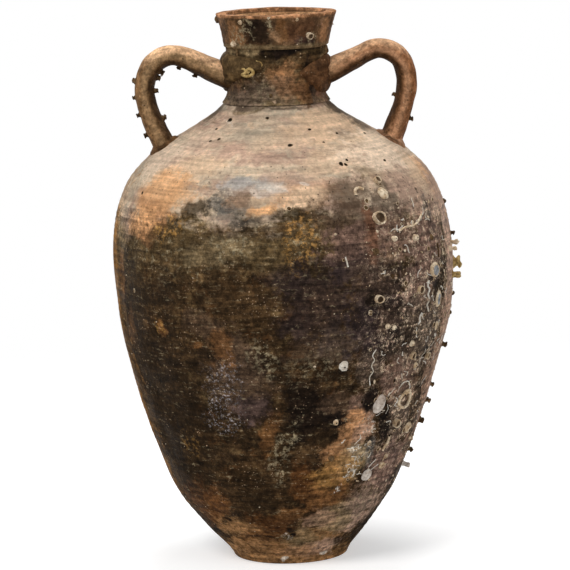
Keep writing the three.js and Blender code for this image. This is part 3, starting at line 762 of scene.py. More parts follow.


# Bare clay, worn by hands and sand; the handles' clay also gets painted light and shade
def rubbedClay(name, dark, middle, light, stains=(), lip=False, bar=False):
    recipe = Recipe(name)
    warped = recipe.warp(recipe.warp(recipe.place, 16, 0.02), 75, 0.01)
    edge = tornEdge(recipe)
    medium = recipe.noise(42, 9, 0.7, warped)
    blotch = recipe.noise(90, 9, 0.72)
    fine = recipe.noise(210, 8, 0.76)
    grain = recipe.noise(640, 4, 0.7)
    specks = {"fleck": recipe.ramp(recipe.noise(200, 7, 0.74), 0.5, 0.58)}
    colour = recipe.mix(recipe.ramp(medium, 0.36, 0.6), tone(*dark), tone(*middle))
    colour = recipe.mix(recipe.ramp(recipe.noise(20, 8, 0.68, warped), 0.5, 0.64, 0.8), colour, tone(*light))
    colour = recipe.mix(recipe.ramp(blotch, 0.56, 0.68, 0.5), colour, tone(*light))
    if bar:
        colour = barWearAndPaintedLight(recipe, colour, edge)
    for row in stains:
        colour = stainAndPaintedLight(recipe, colour, warped, edge, specks, collarFace, row)
    if lip:
        height = recipe.height()
        worn = recipe.ramp(recipe.onto(medium, 0.006, height), 0.5488, 0.5506, 0.95)
        lipTone = recipe.mix(recipe.ramp(blotch, 0.4, 0.6), tone(128, 90, 60), tone(180, 130, 92))
        colour = recipe.mix(worn, colour, lipTone)
        ledge = recipe.ramp(recipe.onto(edge, 0.002, height), 0.5215, 0.5185, 0.7)
        colour = recipe.coat(colour, ledge, "oliveTan")
    flecks = speckles(recipe, 260, (0.22, 0.1), medium, (0.52, 0.64, 0.6))
    colour = recipe.coat(colour, flecks, "paleTan")
    holes = speckles(recipe, 170, (0.15, 0.06), medium, (0.45, 0.58, 0.85))
    colour = recipe.coat(colour, holes, "soot")
    colour = recipe.mottle(colour, 0.9, blotch, 1.35, 0.66)
    colour = recipe.mottle(colour, 0.85, fine, 1.5, 0.55)
    relief = recipe.onto(fine, 1.2, recipe.both(grain, 0.5))
    relief = recipe.onto(blotch, 1.1, relief)
    relief = recipe.onto(holes, -0.8, relief)
    rough = recipe.ramp(recipe.noise(34, 6, 0.6), 0.35, 0.65, 0.72, 0.5)
    return recipe.finish(colour, rough, relief, 0.0012)


# Handle clay: the first tone of each pair is the left handle's, the second the right one's
barTones = {
    # a painted highlight down the front ridge of the bar
    "paintedFrontHighlight": ((154, 124, 90), (186, 136, 104)),
    # the top, pale from wear and paler still from painted light from above
    "worn": ((214, 172, 132), (178, 138, 106)),
    "rightBase": (138, 84, 52),
    # painted shade: the next two tones darken the underside and the inner side of the loop
    "underside": (62, 44, 26),
    "inside": (62, 44, 27),
}


def barWearAndPaintedLight(recipe, colour, edge):  # the handles are rubbed pale on top, with painted light from above; a painted highlight runs down the front, painted shade darkens the underside and inner side, and the right handle is redder
    facing = recipe.parts(recipe.coordinates.outputs["Normal"])
    across = recipe.parts(recipe.place)[0]
    side = recipe.sum("SIGN", across)
    reddish = recipe.ramp(across, 0.02, 0.08, 0.6)
    colour = recipe.mix(reddish, colour, tone(*barTones["rightBase"]))
    # painted highlight down the front
    forward = recipe.onto(edge, 0.2, recipe.both(facing[1], -1))
    paintedFrontHighlight = recipe.mix(reddish, *[tone(*seen) for seen in barTones["paintedFrontHighlight"]])
    colour = recipe.mix(recipe.ramp(forward, 0.5, 1.05, 0.8), colour, paintedFrontHighlight)
    # wear and painted light on the upward-facing top
    upward = recipe.onto(edge, 0.3, facing[2])
    worn = recipe.mix(reddish, *[tone(*seen) for seen in barTones["worn"]])
    colour = recipe.mix(recipe.ramp(upward, 0.25, 0.9, 0.95), colour, worn)
    # painted shade under the bar
    colour = recipe.mix(recipe.ramp(upward, -0.15, -0.9, 0.9), colour, tone(*barTones["underside"]))
    # painted shade on the bar's inner side
    inward = recipe.onto(edge, 0.25, recipe.both(facing[0], side))
    return recipe.mix(recipe.ramp(inward, -0.25, -0.95, 0.9), colour, tone(*barTones["inside"]))


def shellChalk(name, light, dark, grimeAndShade, grimeAndShadeShare):  # lime that grew in layers, with grime and painted shade in its tiny hollows
    recipe = Recipe(name)
    fine = recipe.noise(330, 7, 0.74)
    medium = recipe.noise(110, 6, 0.66)
    colour = recipe.mix(recipe.ramp(medium, 0.38, 0.62), tone(*light), tone(*dark))
    colour = recipe.mix(recipe.ramp(fine, 0.47, 0.62, grimeAndShadeShare), colour, tone(*grimeAndShade))
    # grime and painted shade in the tiny holes, which the relief also sinks
    holes = recipe.ramp(recipe.cells(900), 0.28, 0.12, 0.6)
    colour = recipe.mix(holes, colour, tone(*grimeAndShade))
    relief = recipe.onto(holes, -0.6, fine)
    return recipe.finish(colour, recipe.ramp(medium, 0.3, 0.7, 0.86, 0.7), relief, 0.0006)


clay = {
    # the inner clay is painted lighter than its tan, as painted light against the shade inside the mouth
    "inside": rubbedClay("inner clay with painted light", (150, 112, 78), (190, 144, 102), (214, 170, 124)),
    "collar": rubbedClay("collar clay", (72, 53, 36), (118, 88, 62), (152, 118, 86), collarStains, lip=True),
    "handle": rubbedClay("handle clay", (80, 56, 33), (120, 88, 55), (150, 114, 78), bar=True),
    "left_neck_clay": rubbedClay("olive smeared clay", (58, 44, 28), (96, 76, 50), (140, 112, 74)),
    "right_neck_clay": rubbedClay("red-brown smeared clay", (66, 44, 29), (98, 68, 44), (132, 98, 68)),
    "left_shoulder_clay": rubbedClay("dark smeared clay", (46, 34, 22), (96, 68, 42), (180, 128, 80)),
    "right_shoulder_clay": rubbedClay("red smeared clay", (84, 58, 40), (140, 102, 74), (186, 146, 114)),
}
outerClays = {}  # for each piece its clays from the bottom up, right and left of each area
for piece, edges in jar["areas"].items():
    outerClays[piece] = [bodyClay(f"{piece} {low}", low, high, side)
                         for low, high in zip(edges, edges[1:]) for side in jar["sides"]]
chalk = {
    "cream": shellChalk("cream shell", (230, 212, 184), (190, 162, 128), (102, 76, 52), 0.6),
    "grey": shellChalk("grey shell", (220, 210, 198), (182, 166, 152), (108, 90, 76), 0.5),
    "brown": shellChalk("brown crust", (118, 94, 66), (74, 56, 38), (36, 27, 18), 0.7),
    "yellow": shellChalk("yellow worm lime", (206, 178, 120), (158, 128, 78), (66, 50, 30), 0.6),
    "blue": shellChalk("blue-grey shell", (176, 178, 180), (130, 130, 130), (78, 72, 66), 0.5),
    "cup": shellChalk("grimy cup", (126, 104, 82), (84, 66, 50), (46, 35, 26), 0.6),
    "white": shellChalk("white worm lime", (234, 228, 216), (198, 186, 168), (112, 98, 80), 0.45),
    "hollow": shellChalk("shaded hollow", (34, 26, 19), (22, 16, 12), (12, 9, 7), 0.5),
}
print("Materials: clay", len(clay), "and chalk", len(chalk))


# Thrown pieces: rows are radius, height, the way out as radius and height, and the share of relief
def spinPiece(node, rows, closed, outer, isOuter):
    rows = np.array(rows, float)
    count = jar["turns"]
    turn = np.linspace(0, 2 * math.pi, count, endpoint=False)
    radius, height, outR, outZ, share = [column[:, None] * np.ones(count) for column in rows.T]
    flat = roundJar(radius, height, turn).reshape(-1, 3)
    relief = clayRelief(flat).reshape(radius.shape) * share
    places = roundJar(radius + outR * relief, height + outZ * relief, turn).reshape(-1, 3)
    faces = gridFaces(len(rows), count, closed)
    onLeft = np.cos(turn + math.pi / count - math.radians(jar["sides"]["left"])) > 0
    middles = (rows[:, 1] + np.roll(rows[:, 1], -1)) / 2
    areas = np.searchsorted(jar["areas"].get(node, (0, 600))[1:-1], middles)
    pairs = [2 * area + 1 if seen else 0 for seen, area in zip(isOuter, areas)]
    faceTones = [pair + int(left) if pair and len(outer) > 1 else pair for pair in pairs for left in onLeft]
    if not closed:
        faces.append(tuple(range(count)))
        faces.append(tuple(reversed(range((len(rows) - 1) * count, len(rows) * count))))
        faceTones += [1, 0]
    makePiece(f"clay_{node}", places, faces, [clay["inside"], *outer], [node], faceTones)


def wallRows(lowRun, highRun, depth, share, step):
    count = max(3, round((highRun - lowRun) / step) + 1)
    runs = np.linspace(lowRun, highRun, count)
    ways = wall.outwards(runs)
    places = wall.at(runs) + ways * depth
    return [(*place, *way, share) for place, way in zip(places, ways)]


def throwSection(node, low, high, ledge=(0, 1)):
    lowRun = wall.runAt(low)
    highRun = wall.runAt(high)
    bevel = jar["seamBevel"]
    overhang, reach = ledge
    outer = wallRows(lowRun, highRun, 0, 1, jar["rowStep"])
    inner = wallRows(lowRun + bevel, highRun + bevel, -jar["wall"], 0.5, 3 * jar["rowStep"])
    if overhang:  # the upper piece overhangs its seam a little
        outer = [(row[0] + overhang * math.exp(-(((row[1] - low) / reach) ** 2)), *row[1:]) for row in outer]
    rows = outer + inner[::-1]
    isOuter = [True] * len(outer) + [False] * (len(inner) - 1) + [True]
    spinPiece(node, rows, True, outerClays[node], isOuter)


def throwFoot():
    roundOut, roundUp = jar["undersideRounding"]
    radius = jar["undersideRadius"]
    seamRun = wall.runAt(jar["seams"]["foot"])
    rows = [(reach, 0, 0, -1, 0) for reach in (3, 20, 42, radius - 2)] + [(radius, 0.1, 0, -1, 0)]
    for share in (0.35, 0.7, 1):
        rows.append((radius + roundOut * share, roundUp * share**1.5, 1, 0, share))
    footRadius, footHeight = jar["footEdge"]
    for share in (0.33, 0.66):
        between = radius + roundOut + (footRadius - radius - roundOut) * share
        rows.append((between, roundUp + (footHeight - roundUp) * share, 1, 0, 1))
    rows += wallRows(0, seamRun, 0, 1, jar["rowStep"])
    outerBands = len(rows)
    innerSeam = wall.at(seamRun + jar["seamBevel"]) + wall.outwards(seamRun + jar["seamBevel"]) * -jar["wall"]
    level = jar["floor"]
    rows += [(*innerSeam, -1, 0, 0), (innerSeam[0] - 4.5, level + 2.2, 0, 1, 0.5)]
    rows += [(innerSeam[0] - 9, level, 0, 1, 0.5), (20, level, 0, 1, 0.5), (3, level, 0, 1, 0)]
    isOuter = [True] * outerBands + [False] * (len(rows) - 1 - outerBands)
    spinPiece("foot_disc", rows, False, outerClays["foot_disc"], isOuter)


def throwCollar():
    rounding = collar["lipRounding"]
    top = jar["height"]
    mouth = collar["rimRadius"] - collar["lipWidth"]

    def roundedLip(middle, arcs, share):
        ways = [(math.cos(arc), math.sin(arc)) for arc in np.radians(arcs)]
        return [(middle + rounding * out, top - rounding + rounding * up, out, up, share) for out, up in ways]

    foot = Outline([
        (jar["neckRadius"] - 0.4, jar["neckTop"] + 0.2),
        (collar["footRadius"] - 0.6, collar["footHeight"] - 0.6),
    ])
    rows = [(*foot.at(run), 0.7, -0.7, 0.3) for run in np.linspace(0, foot.runs[-1], 3)]
    rows.append((collar["footRadius"], collar["footHeight"] + 0.2, 1, 0, 0.8))
    for share in np.linspace(0.04, 1, 16):
        run = share * collarFace.runs[-1]
        place = collarFace.at(run) + np.array([-collar["bandHollow"] * math.sin(math.pi * share), 0])
        rows.append((*place, *collarFace.outwards(run), 1))
    rows += roundedLip(collar["rimRadius"] - rounding, [22, 45, 67, 90], 1)
    for share in (0.25, 0.5, 0.75):
        across = (collar["lipWidth"] - 2 * rounding) * share
        rows.append((collar["rimRadius"] - rounding - across, top - collar["lipDip"], 0, 1, 0.9))
    rows += roundedLip(mouth + rounding, [90, 113, 135, 158, 180], 0.9)
    lipRows = len(rows)
    innerSeam = wall.at(wall.runAt(jar["neckTop"]) + jar["seamBevel"]) - np.array([jar["wall"], 0])
    for share in np.linspace(0.1, 1, 10):
        height = top - rounding + (innerSeam[1] - top + rounding) * share
        rows.append((mouth + (innerSeam[0] - mouth) * share, height, -1, 0, 0.8))
    isOuter = [True] * lipRows + [False] * (len(rows) - lipRows - 1) + [True]
    spinPiece("rim_collar", rows, True, [clay["collar"]], isOuter)


throwFoot()
seams = jar["seams"]
throwSection("lower_body", seams["foot"], seams["belly"])
throwSection("upper_body", seams["belly"], seams["shoulder"])
throwSection("shoulder", seams["shoulder"], seams["neck"])
throwSection("neck", seams["neck"], jar["neckTop"], jar["neckLedge"])
throwCollar()
print("Thrown clay:", pieceCount, "pieces")


# The pulled handles: middle line from inside the neck to inside the shoulder, as reach and height
handle = {
    "line": [(38.7, 484), (50.7, 488), (75.3, 499.5), (103, 509.5), (122, 501), (130.5, 480), (128.5, 460),
             (122, 440), (113.6, 420), (109.6, 408)],
    "thick": 21.5,
    "wide": 36,
    "neckSwell": (7.5, 0.3),  # how much thicker at the root, fading out over this share of the length
    "shoulderSwell": (2.5, 0.25),
    "swellFade": 1.5,
    "rootWidening": 6,
    "ridgeSharpness": 1.15,
    "rootDepth": 5,  # how far the bar's ends run on inside the wall
    "ends": (0.012, 0.988),  # shares of the middle line where the bar is cut
    "swell": (46, 0.5),  # wavelength and depth of the pulled clay's unevenness
    "lumps": (15, 0.22),
    "settle": 0.5,
    "rows": 130,
    "facets": 40,
}


def handleLine():
    line = smoothThrough(handle["line"])
    runs = np.concatenate([[0], np.cumsum(np.linalg.norm(np.diff(line, axis=0), axis=1))])
    return line, runs / runs[-1]


barLine, barShares = handleLine()


def onBar(share):
    return np.stack([np.interp(share, barShares, barLine[:, i]) for i in (0, 1)], axis=-1)


def alongBar(share):
    ahead = onBar(np.clip(share + 0.004, 0, 1)) - onBar(np.clip(share - 0.004, 0, 1))
    return ahead / np.linalg.norm(ahead, axis=-1)[..., None]


def barHalfSize(share):
    neckGrowth, neckShare = handle["neckSwell"]
    shoulderGrowth, shoulderShare = handle["shoulderSwell"]
    neckSwell = np.maximum(0, 1 - share / neckShare) ** handle["swellFade"]
    shoulderSwell = np.maximum(0, 1 - (1 - share) / shoulderShare) ** handle["swellFade"]
    thick = handle["thick"] + neckSwell * neckGrowth + shoulderSwell * shoulderGrowth
    wide = handle["wide"] + np.maximum(neckSwell, shoulderSwell) * handle["rootWidening"]
    return thick / 2, wide / 2


def holdInWall(places, depth):  # draws what reaches inside the jar out to a depth under its outer face
    height = places[:, 2]
    radius = np.interp(height, wall.points[:, 1], wall.points[:, 0]) - depth
    across = places[:, 0] - axisOffset(height)
    reach = np.hypot(across, places[:, 1])
    grow = np.where(reach < radius, radius / np.maximum(reach, 1e-6), 1)
    return np.stack([across * grow + axisOffset(height), places[:, 1] * grow, height], axis=-1)


def bendHandle(node, side):
    share = np.linspace(*handle["ends"], handle["rows"])[:, None] * np.ones(handle["facets"])
    turn = np.linspace(0, 2 * math.pi, handle["facets"], endpoint=False)
    thick, wide = barHalfSize(share)
    middle = onBar(share)
    ahead = alongBar(share)
    ridge = np.sign(np.sin(turn)) * np.abs(np.sin(turn)) ** handle["ridgeSharpness"]
    across = np.cos(turn) * thick
    reach = middle[..., 0] + ahead[..., 1] * across
    height = middle[..., 1] - ahead[..., 0] * across
    flat = np.stack([side * reach, ridge * wide, height], axis=-1).reshape(-1, 3)
    way = np.stack([side * ahead[..., 1] * np.cos(turn), np.sin(turn) * np.ones_like(share),
                    -ahead[..., 0] * np.cos(turn)], axis=-1).reshape(-1, 3)
    swellLength, swellDepth = handle["swell"]
    lumpLength, lumpDepth = handle["lumps"]
    relief = ripple(flat, swellLength, 21 + side) * swellDepth
    relief = relief + ripple(flat, lumpLength, 31 + side) * lumpDepth - handle["settle"]
    places = flat + way * relief[:, None]
    places[:, 0] += axisOffset(places[:, 2])
    places = holdInWall(places, handle["rootDepth"])
    faces = gridFaces(handle["rows"], handle["facets"], False)
    faces = [face if side > 0 else face[::-1] for face in faces]
    ends = [tuple(range(handle["facets"])), tuple(range(len(places) - handle["facets"], len(places)))]
    faces.append(ends[0] if side < 0 else ends[0][::-1])
    faces.append(ends[1][::-1] if side < 0 else ends[1])
    makePiece(f"clay_{node}", places, faces, [clay["handle"]], [node])


def layOnJar(shape, line, angle, height):  # shape runs right, up and out in millimetres
    start = line.runAt(height)
    reach = float(line.at(start)[0])
    turn = math.radians(angle) - shape[:, 0] / reach
    run = np.clip(start + shape[:, 1], 0, line.runs[-1])
    foot = line.at(run)
    way = line.outwards(run)
    relief = clayRelief(roundJar(foot[:, 0], foot[:, 1], turn))
    out = foot + way * (shape[:, 2] + relief)[:, None]
    return roundJar(out[:, 0], out[:, 1], turn)


# Clay smeared round the handles' roots: the side that it faces, its height, and its sizes
smears = {
    "left_neck_clay": {
        "facing": 180, "height": 491, "reach": 66, "half": 19.5, "rise": 9, "lip": 0.9, "flap": 1, "seed": 2,
    },
    "right_neck_clay": {
        "facing": 0, "height": 488, "reach": 50, "half": 19.5, "rise": 9, "lip": 0.8, "flap": 0, "seed": 6,
    },
    "left_shoulder_clay": {
        "facing": 180, "height": 420, "reach": 26, "half": 17, "rise": 8.5, "lip": 0.35, "flap": 0, "seed": 4,
    },
    "right_shoulder_clay": {
        "facing": 0, "height": 420, "reach": 26, "half": 17, "rise": 8.5, "lip": 0.35, "flap": 0, "seed": 9,
    },
}
smearForm = {
    "rings": 30,
    "facets": 120,
    "flapNarrowing": 0.42,
    "flapLift": 11,
    "edgeDepth": 0.8,  # how far the edge is pressed into the jar
    "fingerDepth": 0.35,  # drawn round by finger tips
    "lumpDepth": 0.4,
}


def smearClay(node, size):  # one side of a smear may be drawn out to a narrower, higher flap
    rings, count = smearForm["rings"], smearForm["facets"]
    around = np.linspace(0, 2 * math.pi, count, endpoint=False)
    out = np.linspace(0.03, 1, rings)[:, None] * np.ones(count)
    seed = size["seed"]
    edge = 1 + 0.05 * np.sin(3 * around + seed) + 0.04 * np.sin(5 * around + 2 * seed)
    edge = edge + 0.02 * np.sin(11 * around)
    right = out * np.cos(around) * edge * size["reach"]
    flap = size["flap"] * np.clip(right / size["reach"], 0, 1)
    narrowed = 1 - smearForm["flapNarrowing"] * flap
    up = out * np.sin(around) * edge * size["half"] * narrowed + smearForm["flapLift"] * flap
    flared = (1 - out) ** 1.7 * 1.15
    full = 0.25 * (1 - out) + 0.65 * np.sqrt(np.maximum(0, 1 - out**6))
    rise = size["rise"] * (flared + (full - flared) * size["lip"]) - smearForm["edgeDepth"] * out**12
    shape = np.stack([right, up, rise], axis=-1).reshape(-1, 3)
    fingers = np.sin(shape[:, 1] * 0.75 + 2 * ripple(shape, 30, seed + 3)) * smearForm["fingerDepth"]
    lumps = ripple(shape, 13, seed) * smearForm["lumpDepth"]
    shape[:, 2] += (fingers + lumps) * (1 - out.ravel() ** 4)
    places = layOnJar(shape, wall, size["facing"], size["height"])
    faces = gridFaces(rings, count, False)
    faces.append(tuple(range(count)))
    makePiece(f"clay_{node}", places, faces, [clay[node]], [node], sharpAngle=60)


bendHandle("left_handle", -1)
bendHandle("right_handle", 1)
for node, size in smears.items():
    smearClay(node, size)
print("Handles and smears:", pieceCount, "pieces so far")


# Growth shapes. Each gives its places (right, up, out), faces and face tones, rooted just below the clay.
root = -1.2
forms = {  # each side line is given in shares of the growth's radius and rise
    "barnacle": {
        "rootSpread": 1, "facets": 44, "wobble": 0.06, "ribs": 11, "ribDepth": 0.03,
        "bands": [0] * 7 + [1] * 3,
        "line": [(1, 0), (0.99, 0.3), (0.97, 0.7), (0.93, 0.94), (0.87, 1), (0.8, 0.95), (0.74, 0.7),
                 (0.68, 0.4),
                 (0.5, 0.2), (0.1, 0.16)],
    },
    "stalk": {  # a knobbly stump, swollen towards its end
        "rootSpread": 1.5, "facets": 20, "wobble": 0.18, "ribs": 5, "ribDepth": 0.07, "bands": [0] * 8,
        "line": [(1.35, 0), (0.98, 0.22), (0.85, 0.42), (1.1, 0.62), (1.2, 0.76), (1, 0.9), (0.6, 0.98),
                 (0.2, 1)],
    },
    "pit": {  # the scar that a boring animal left, a dark cup in a low rim; its rise is in millimetres
        "rootSpread": 1.35, "facets": 20, "wobble": 0.1, "ribs": 0, "ribDepth": 0, "bands": [0, 0, 0, 1, 1],
        "line": [(1.3, 0.05), (1.12, 0.32), (0.98, 0.34), (0.86, 0.1), (0.2, 0.08)],
    },
    "scar": {  # the ring of lime that a fallen barnacle leaves; its rise is in millimetres
        "rootSpread": 1, "facets": 28, "wobble": 0.08, "ribs": 9, "ribDepth": 0.03, "bands": [0, 0, 0, 1, 1],
        "line": [(1, 0.12), (0.92, 0.42), (0.8, 0.4), (0.7, 0.12), (0.2, 0.1)],
    },
}


def turned(rows, facets, wobble, ribs, ribDepth, seed, bands):  # bands give each band's face tone
    chance = np.random.default_rng(seed)
    turn = np.linspace(0, 2 * math.pi, facets, endpoint=False)
    lean = 1 + wobble * np.sin(2 * turn + chance.uniform(0, 6))
    lean = lean + wobble * 0.7 * np.sin(3 * turn + chance.uniform(0, 6))
    lean = lean + ribDepth * np.cos(ribs * turn)
    right, up = lean * np.cos(turn), lean * np.sin(turn)
    places = []
    for radius, rise in rows:
        tilt = wobble * 0.6 * radius * np.sin(turn + seed) * (rise > 0)
        places.append(np.stack([radius * right, radius * up, rise + tilt], axis=-1))
    faces = [face[::-1] for face in gridFaces(len(rows), facets, False)]
    faceTones = [band for band in bands for _ in range(facets)]
    faces.append(tuple(reversed(range(facets))))
    faces.append(tuple(range((len(rows) - 1) * facets, len(rows) * facets)))
    faceTones += [0, faceTones[-1]]
    return np.concatenate(places), faces, faceTones


def formed(word, diameter, rise, seed):
    form = forms[word]
    radius = diameter / 2
    rows = [(radius * form["rootSpread"], root)]
    rows += [(radius * across, rise * up) for across, up in form["line"]]
    return turned(rows, form["facets"], form["wobble"], form["ribs"], form["ribDepth"], seed, form["bands"])


def barnacle(diameter, rise, seed):
    return formed("barnacle", diameter, rise, seed)


def pit(diameter, seed):
    return formed("pit", diameter, 1, seed)


def scar(diameter, seed):
    return formed("scar", diameter, 1, seed)


def stalk(diameter, length, seed):
    places, faces, faceTones = formed("stalk", diameter, length, seed)
    places += ripple(places, diameter * 0.9, seed + 40)[:, None] * diameter * 0.1 * (places[:, 2:] > 0.1)
    return places, faces, faceTones


def leant(places, turn):  # turns a shape on the spot where it grows
    lean = math.radians(turn)
    across, climb = places[:, 0].copy(), places[:, 1].copy()
    places[:, 0] = across * math.cos(lean) - climb * math.sin(lean)
    places[:, 1] = across * math.sin(lean) + climb * math.cos(lean)
    return places


def bead(diameter, rise, seed, mouth=0.2, stretch=1.0, turn=0.0):
    r = diameter / 2
    arcs = np.radians([0, 20, 40, 58, 72])
    rows = [(r, root)] + [(max(r * math.cos(arc), r * mouth), rise * math.sin(arc)) for arc in arcs]
    rows += [(r * mouth * 0.9, rise * 0.9), (r * mouth * 0.6, rise * 0.5)]
    places, faces, faceTones = turned(rows, 24, 0.09, 7, 0.04, seed, [0] * 6 + [1])
    places[:, 2] += ripple(places, diameter * 0.45, seed) * diameter * 0.035 * (places[:, 2] > 0.2)
    places[:, 1] *= stretch
    return leant(places, turn), faces, faceTones


def shellPlate(width, length, rise, turn, hollow, seed):  # a limpet-like shell, some sunk within a raised rim
    rings, around = 20, 56
    turnRound = np.linspace(0, 2 * math.pi, around, endpoint=False)
    out = (np.linspace(0.001, 1, rings) ** 0.75)[:, None] * np.ones(around)
    edge = 1 + 0.03 * np.sin(5 * turnRound + seed) + 0.02 * np.sin(9 * turnRound + 2 * seed)
    right = out * np.cos(turnRound) * edge * width / 2
    up = out * np.sin(turnRound) * edge * length / 2 - (1 - out) * length * 0.1
    dome = rise * np.maximum(0, 1 - out**4) ** 0.5 * (1 - 0.12 * out) + 0.16 * np.sin(out * 28) * (out < 0.97)
    sunk = 1 / (1 + np.exp((out - 0.66) * 22))
    dome -= hollow * rise * sunk * (1 - 0.35 * np.exp(-((out - 0.3) / 0.12) ** 2))
    skirt = np.stack([right[-1], up[-1], root + 0 * up[-1]], axis=-1)
    places = np.concatenate([np.stack([right, up, np.maximum(dome, 0.15)], axis=-1).reshape(-1, 3), skirt])
    faces = gridFaces(rings + 1, around, False)
    faces.append(tuple(range(around)))
    faces.append(tuple(reversed(range(rings * around, (rings + 1) * around))))
    inside = sum(1 for row in out[:, 0] if row < 0.68) - 1
    faceTones = [int(hollow > 0 and index < inside * around) for index in range(rings * around)]
    return leant(places, turn), faces, faceTones + [int(hollow > 0), 0]


def sweptTube(path, radius, seed, facets=12):  # a worm's tube with growth rings; its end caps take the second material, mostly the shaded hollow, as painted shade for the open ends
    ahead = np.gradient(path, axis=0)
    ahead /= np.linalg.norm(ahead, axis=1)[:, None]
    side = np.cross(ahead, [0, 0, 1])
    side /= np.linalg.norm(side, axis=1)[:, None]
    over = np.cross(side, ahead)
    turn = np.linspace(0, 2 * math.pi, facets, endpoint=False)
    swell = (radius * (1 + 0.1 * np.sin(np.arange(len(path)) * 1.9 + seed)))[:, None, None]
    section = side[:, None] * np.cos(turn)[:, None] + over[:, None] * np.sin(turn)[:, None]
    places = (path[:, None] + section * swell).reshape(-1, 3)
    faces = gridFaces(len(path), facets, False)
    faceTones = [0] * len(faces) + [1, 1]
    faces.append(tuple(range(facets)))
    faces.append(tuple(reversed(range(len(places) - facets, len(places)))))
    return places, faces, faceTones


def wormRing(diameter, tube, seed):  # a coil of a little more than one turn
    turn = np.linspace(0, 2 * math.pi * 1.18, 74)
    radius = (diameter - tube) / 2 * (1 - 0.16 * turn / turn[-1])
    radius = radius * (1 + 0.07 * np.sin(3 * turn + seed))
    climb = tube * 0.2 + tube * 0.25 * (turn / turn[-1]) ** 2
    path = np.stack([radius * np.cos(turn + seed), radius * np.sin(turn + seed), climb], axis=-1)
    return sweptTube(path, tube / 2, seed)


def wormTube(tube, places, lift=0.0, seed=1):
    points = [(right, up, tube * 0.2 + lift) for right, up in places]
    return sweptTube(smoothThrough(points, 10), tube / 2, seed)


# What grows on the jar: angle from +X towards the front, height, and the shape's own sizes
growth = {
    "barnacle": {"shape": barnacle, "tones": ("cream", "cup"), "placed": [
        (55, 357, 13, 5.5), (58, 280, 8.5, 5), (39, 282, 8.5, 3.5), (39, 216, 7.5, 3.5), (28, 211, 7, 3.5),
        (39, 147, 9.5, 4.5), (50, 391, 7, 4), (54, 528, 7, 3.5)]},
    "bead": {"shape": bead, "tones": ("cream", "hollow"), "placed": [
        (50, 336, 6, 4), (40, 333.5, 7.5, 4), (54, 251.5, 5.2, 4), (41, 229, 6, 4), (69.5, 216, 10, 4.5),
        (141, 521, 6, 4)]},
    "stalk": {"shape": stalk, "tones": ("brown", "brown"), "placed": [
        (4, 324, 3.5, 4), (8, 316, 5, 8), (13, 312, 4, 8), (2, 293, 9, 8), (9, 284, 5, 9), (4, 211, 5, 5.5),
        (3, 170, 3.5, 4), (5, 155, 5, 5.5), (5, 135, 5, 5.5), (4, 105, 4.5, 5), (8, 91, 4, 8)]},
    "shell_plate": {"shape": shellPlate, "tones": ("grey", "blue"), "placed": [
        (30, 298, 17, 15, 4, -10, 0.3), (50, 379, 10, 13, 3.5, 25, 0), (52, 172, 11, 20, 6, -18, 0),
        (49, 96, 11, 13, 4, -40, 0), (27, 268, 10.5, 17, 2.5, -10, 0.55)]},
    "worm_ring": {"shape": wormRing, "tones": ("cream", "hollow"), "placed": [
        (37, 170, 22, 3.2), (40, 103, 8, 2.6),
        (122, 494, 3.2,
         [(-6.4, 1.4), (-4, 3.4), (-1.4, 2), (-2, -0.8), (-5, -2), (-1.5, -3.8), (3.5, -3.2), (6.5, -0.6),
          (5, 2.6), (2, 3.2), (0.4, 0.8), (2.8, -0.8)], 3.8)]},
    "worm_tube": {"shape": wormTube, "tones": ("cream", "hollow"), "placed": [
        (60, 384, 3, [(-4.6, -5), (-3.4, 1), (1, 3), (5.8, 1)]),
        (41, 346, 2, [(-20, -4), (-9, -1), (1.5, -1), (12, 2), (21, 8)]),
        (42, 127, 2.6, [(2.3, 7.5), (3, 2), (0, -3), (-2.3, -8)])]},
}
handleStalks = [  # side, share of the bar's length, angle round the bar, diameter, length
    (-1, 0.586, 10, 4, 3), (-1, 0.659, -8, 3.8, 2.8), (-1, 0.744, 5, 4.4, 3), (-1, 0.847, 8, 4, 3.4),
    (-1, 0.489, 172, 5.4, 3.6), (-1, 0.544, 184, 4, 3), (-1, 0.633, 176, 3.8, 2.6), (-1, 0.8, 174, 4.8, 3.4),
    (-1, 0.312, 182, 4, 2.8), (-1, 0.213, 176, 4.2, 3), (1, 0.702, 182, 3.4, 2.2), (1, 0.8, 8, 4.2, 3.4),
]
ownTones = {  # growth whose lime isn't its kind's usual one
    "worm_ring_03": "yellow", "shell_plate_01": "cream", "shell_plate_02": "cream", "shell_plate_05": "cream",
    "bead_05": "white", "stalk_02": "cream", "stalk_03": "cream", "stalk_04": "yellow", "stalk_05": "yellow",
    "stalk_11": "grey",
}


def growOnJar():
    for word, kind in growth.items():
        for index, (angle, height, *size) in enumerate(kind["placed"]):
            node = f"{word}_{index + 1:02d}"
            grown = wormTube if isinstance(size[1], list) else kind["shape"]
            shape, faces, faceTones = grown(*size, seed=index + 1)
            line = collarFace if height > collar["footHeight"] else wall
            places = layOnJar(shape, line, angle, height)
            first = chalk[ownTones.get(node, kind["tones"][0])]
            materials = [first, chalk[kind["tones"][1]]]
            makePiece(f"grown_{node}", places, faces, materials, [node], faceTones, 50)


def layOnHandle(shape, side, share, around):
    middle = onBar(share)
    ahead = alongBar(np.array(share))
    thick, wide = barHalfSize(share)
    turn = math.radians(around)
    tangent = Vector((side * ahead[0], 0, ahead[1]))
    loopOut = Vector((-side * tangent.z, 0, side * tangent.x))
    front = Vector((0, -1, 0))
    out = (loopOut * math.cos(turn) / thick + front * math.sin(turn) / wide).normalized()
    base = Vector((side * middle[0], 0, middle[1]))
    base += loopOut * math.cos(turn) * thick + front * math.sin(turn) * wide
    basis = np.array([tangent, out.cross(tangent), out])
    places = shape @ basis + np.array(base)
    places[:, 0] += axisOffset(places[:, 2])
    return places


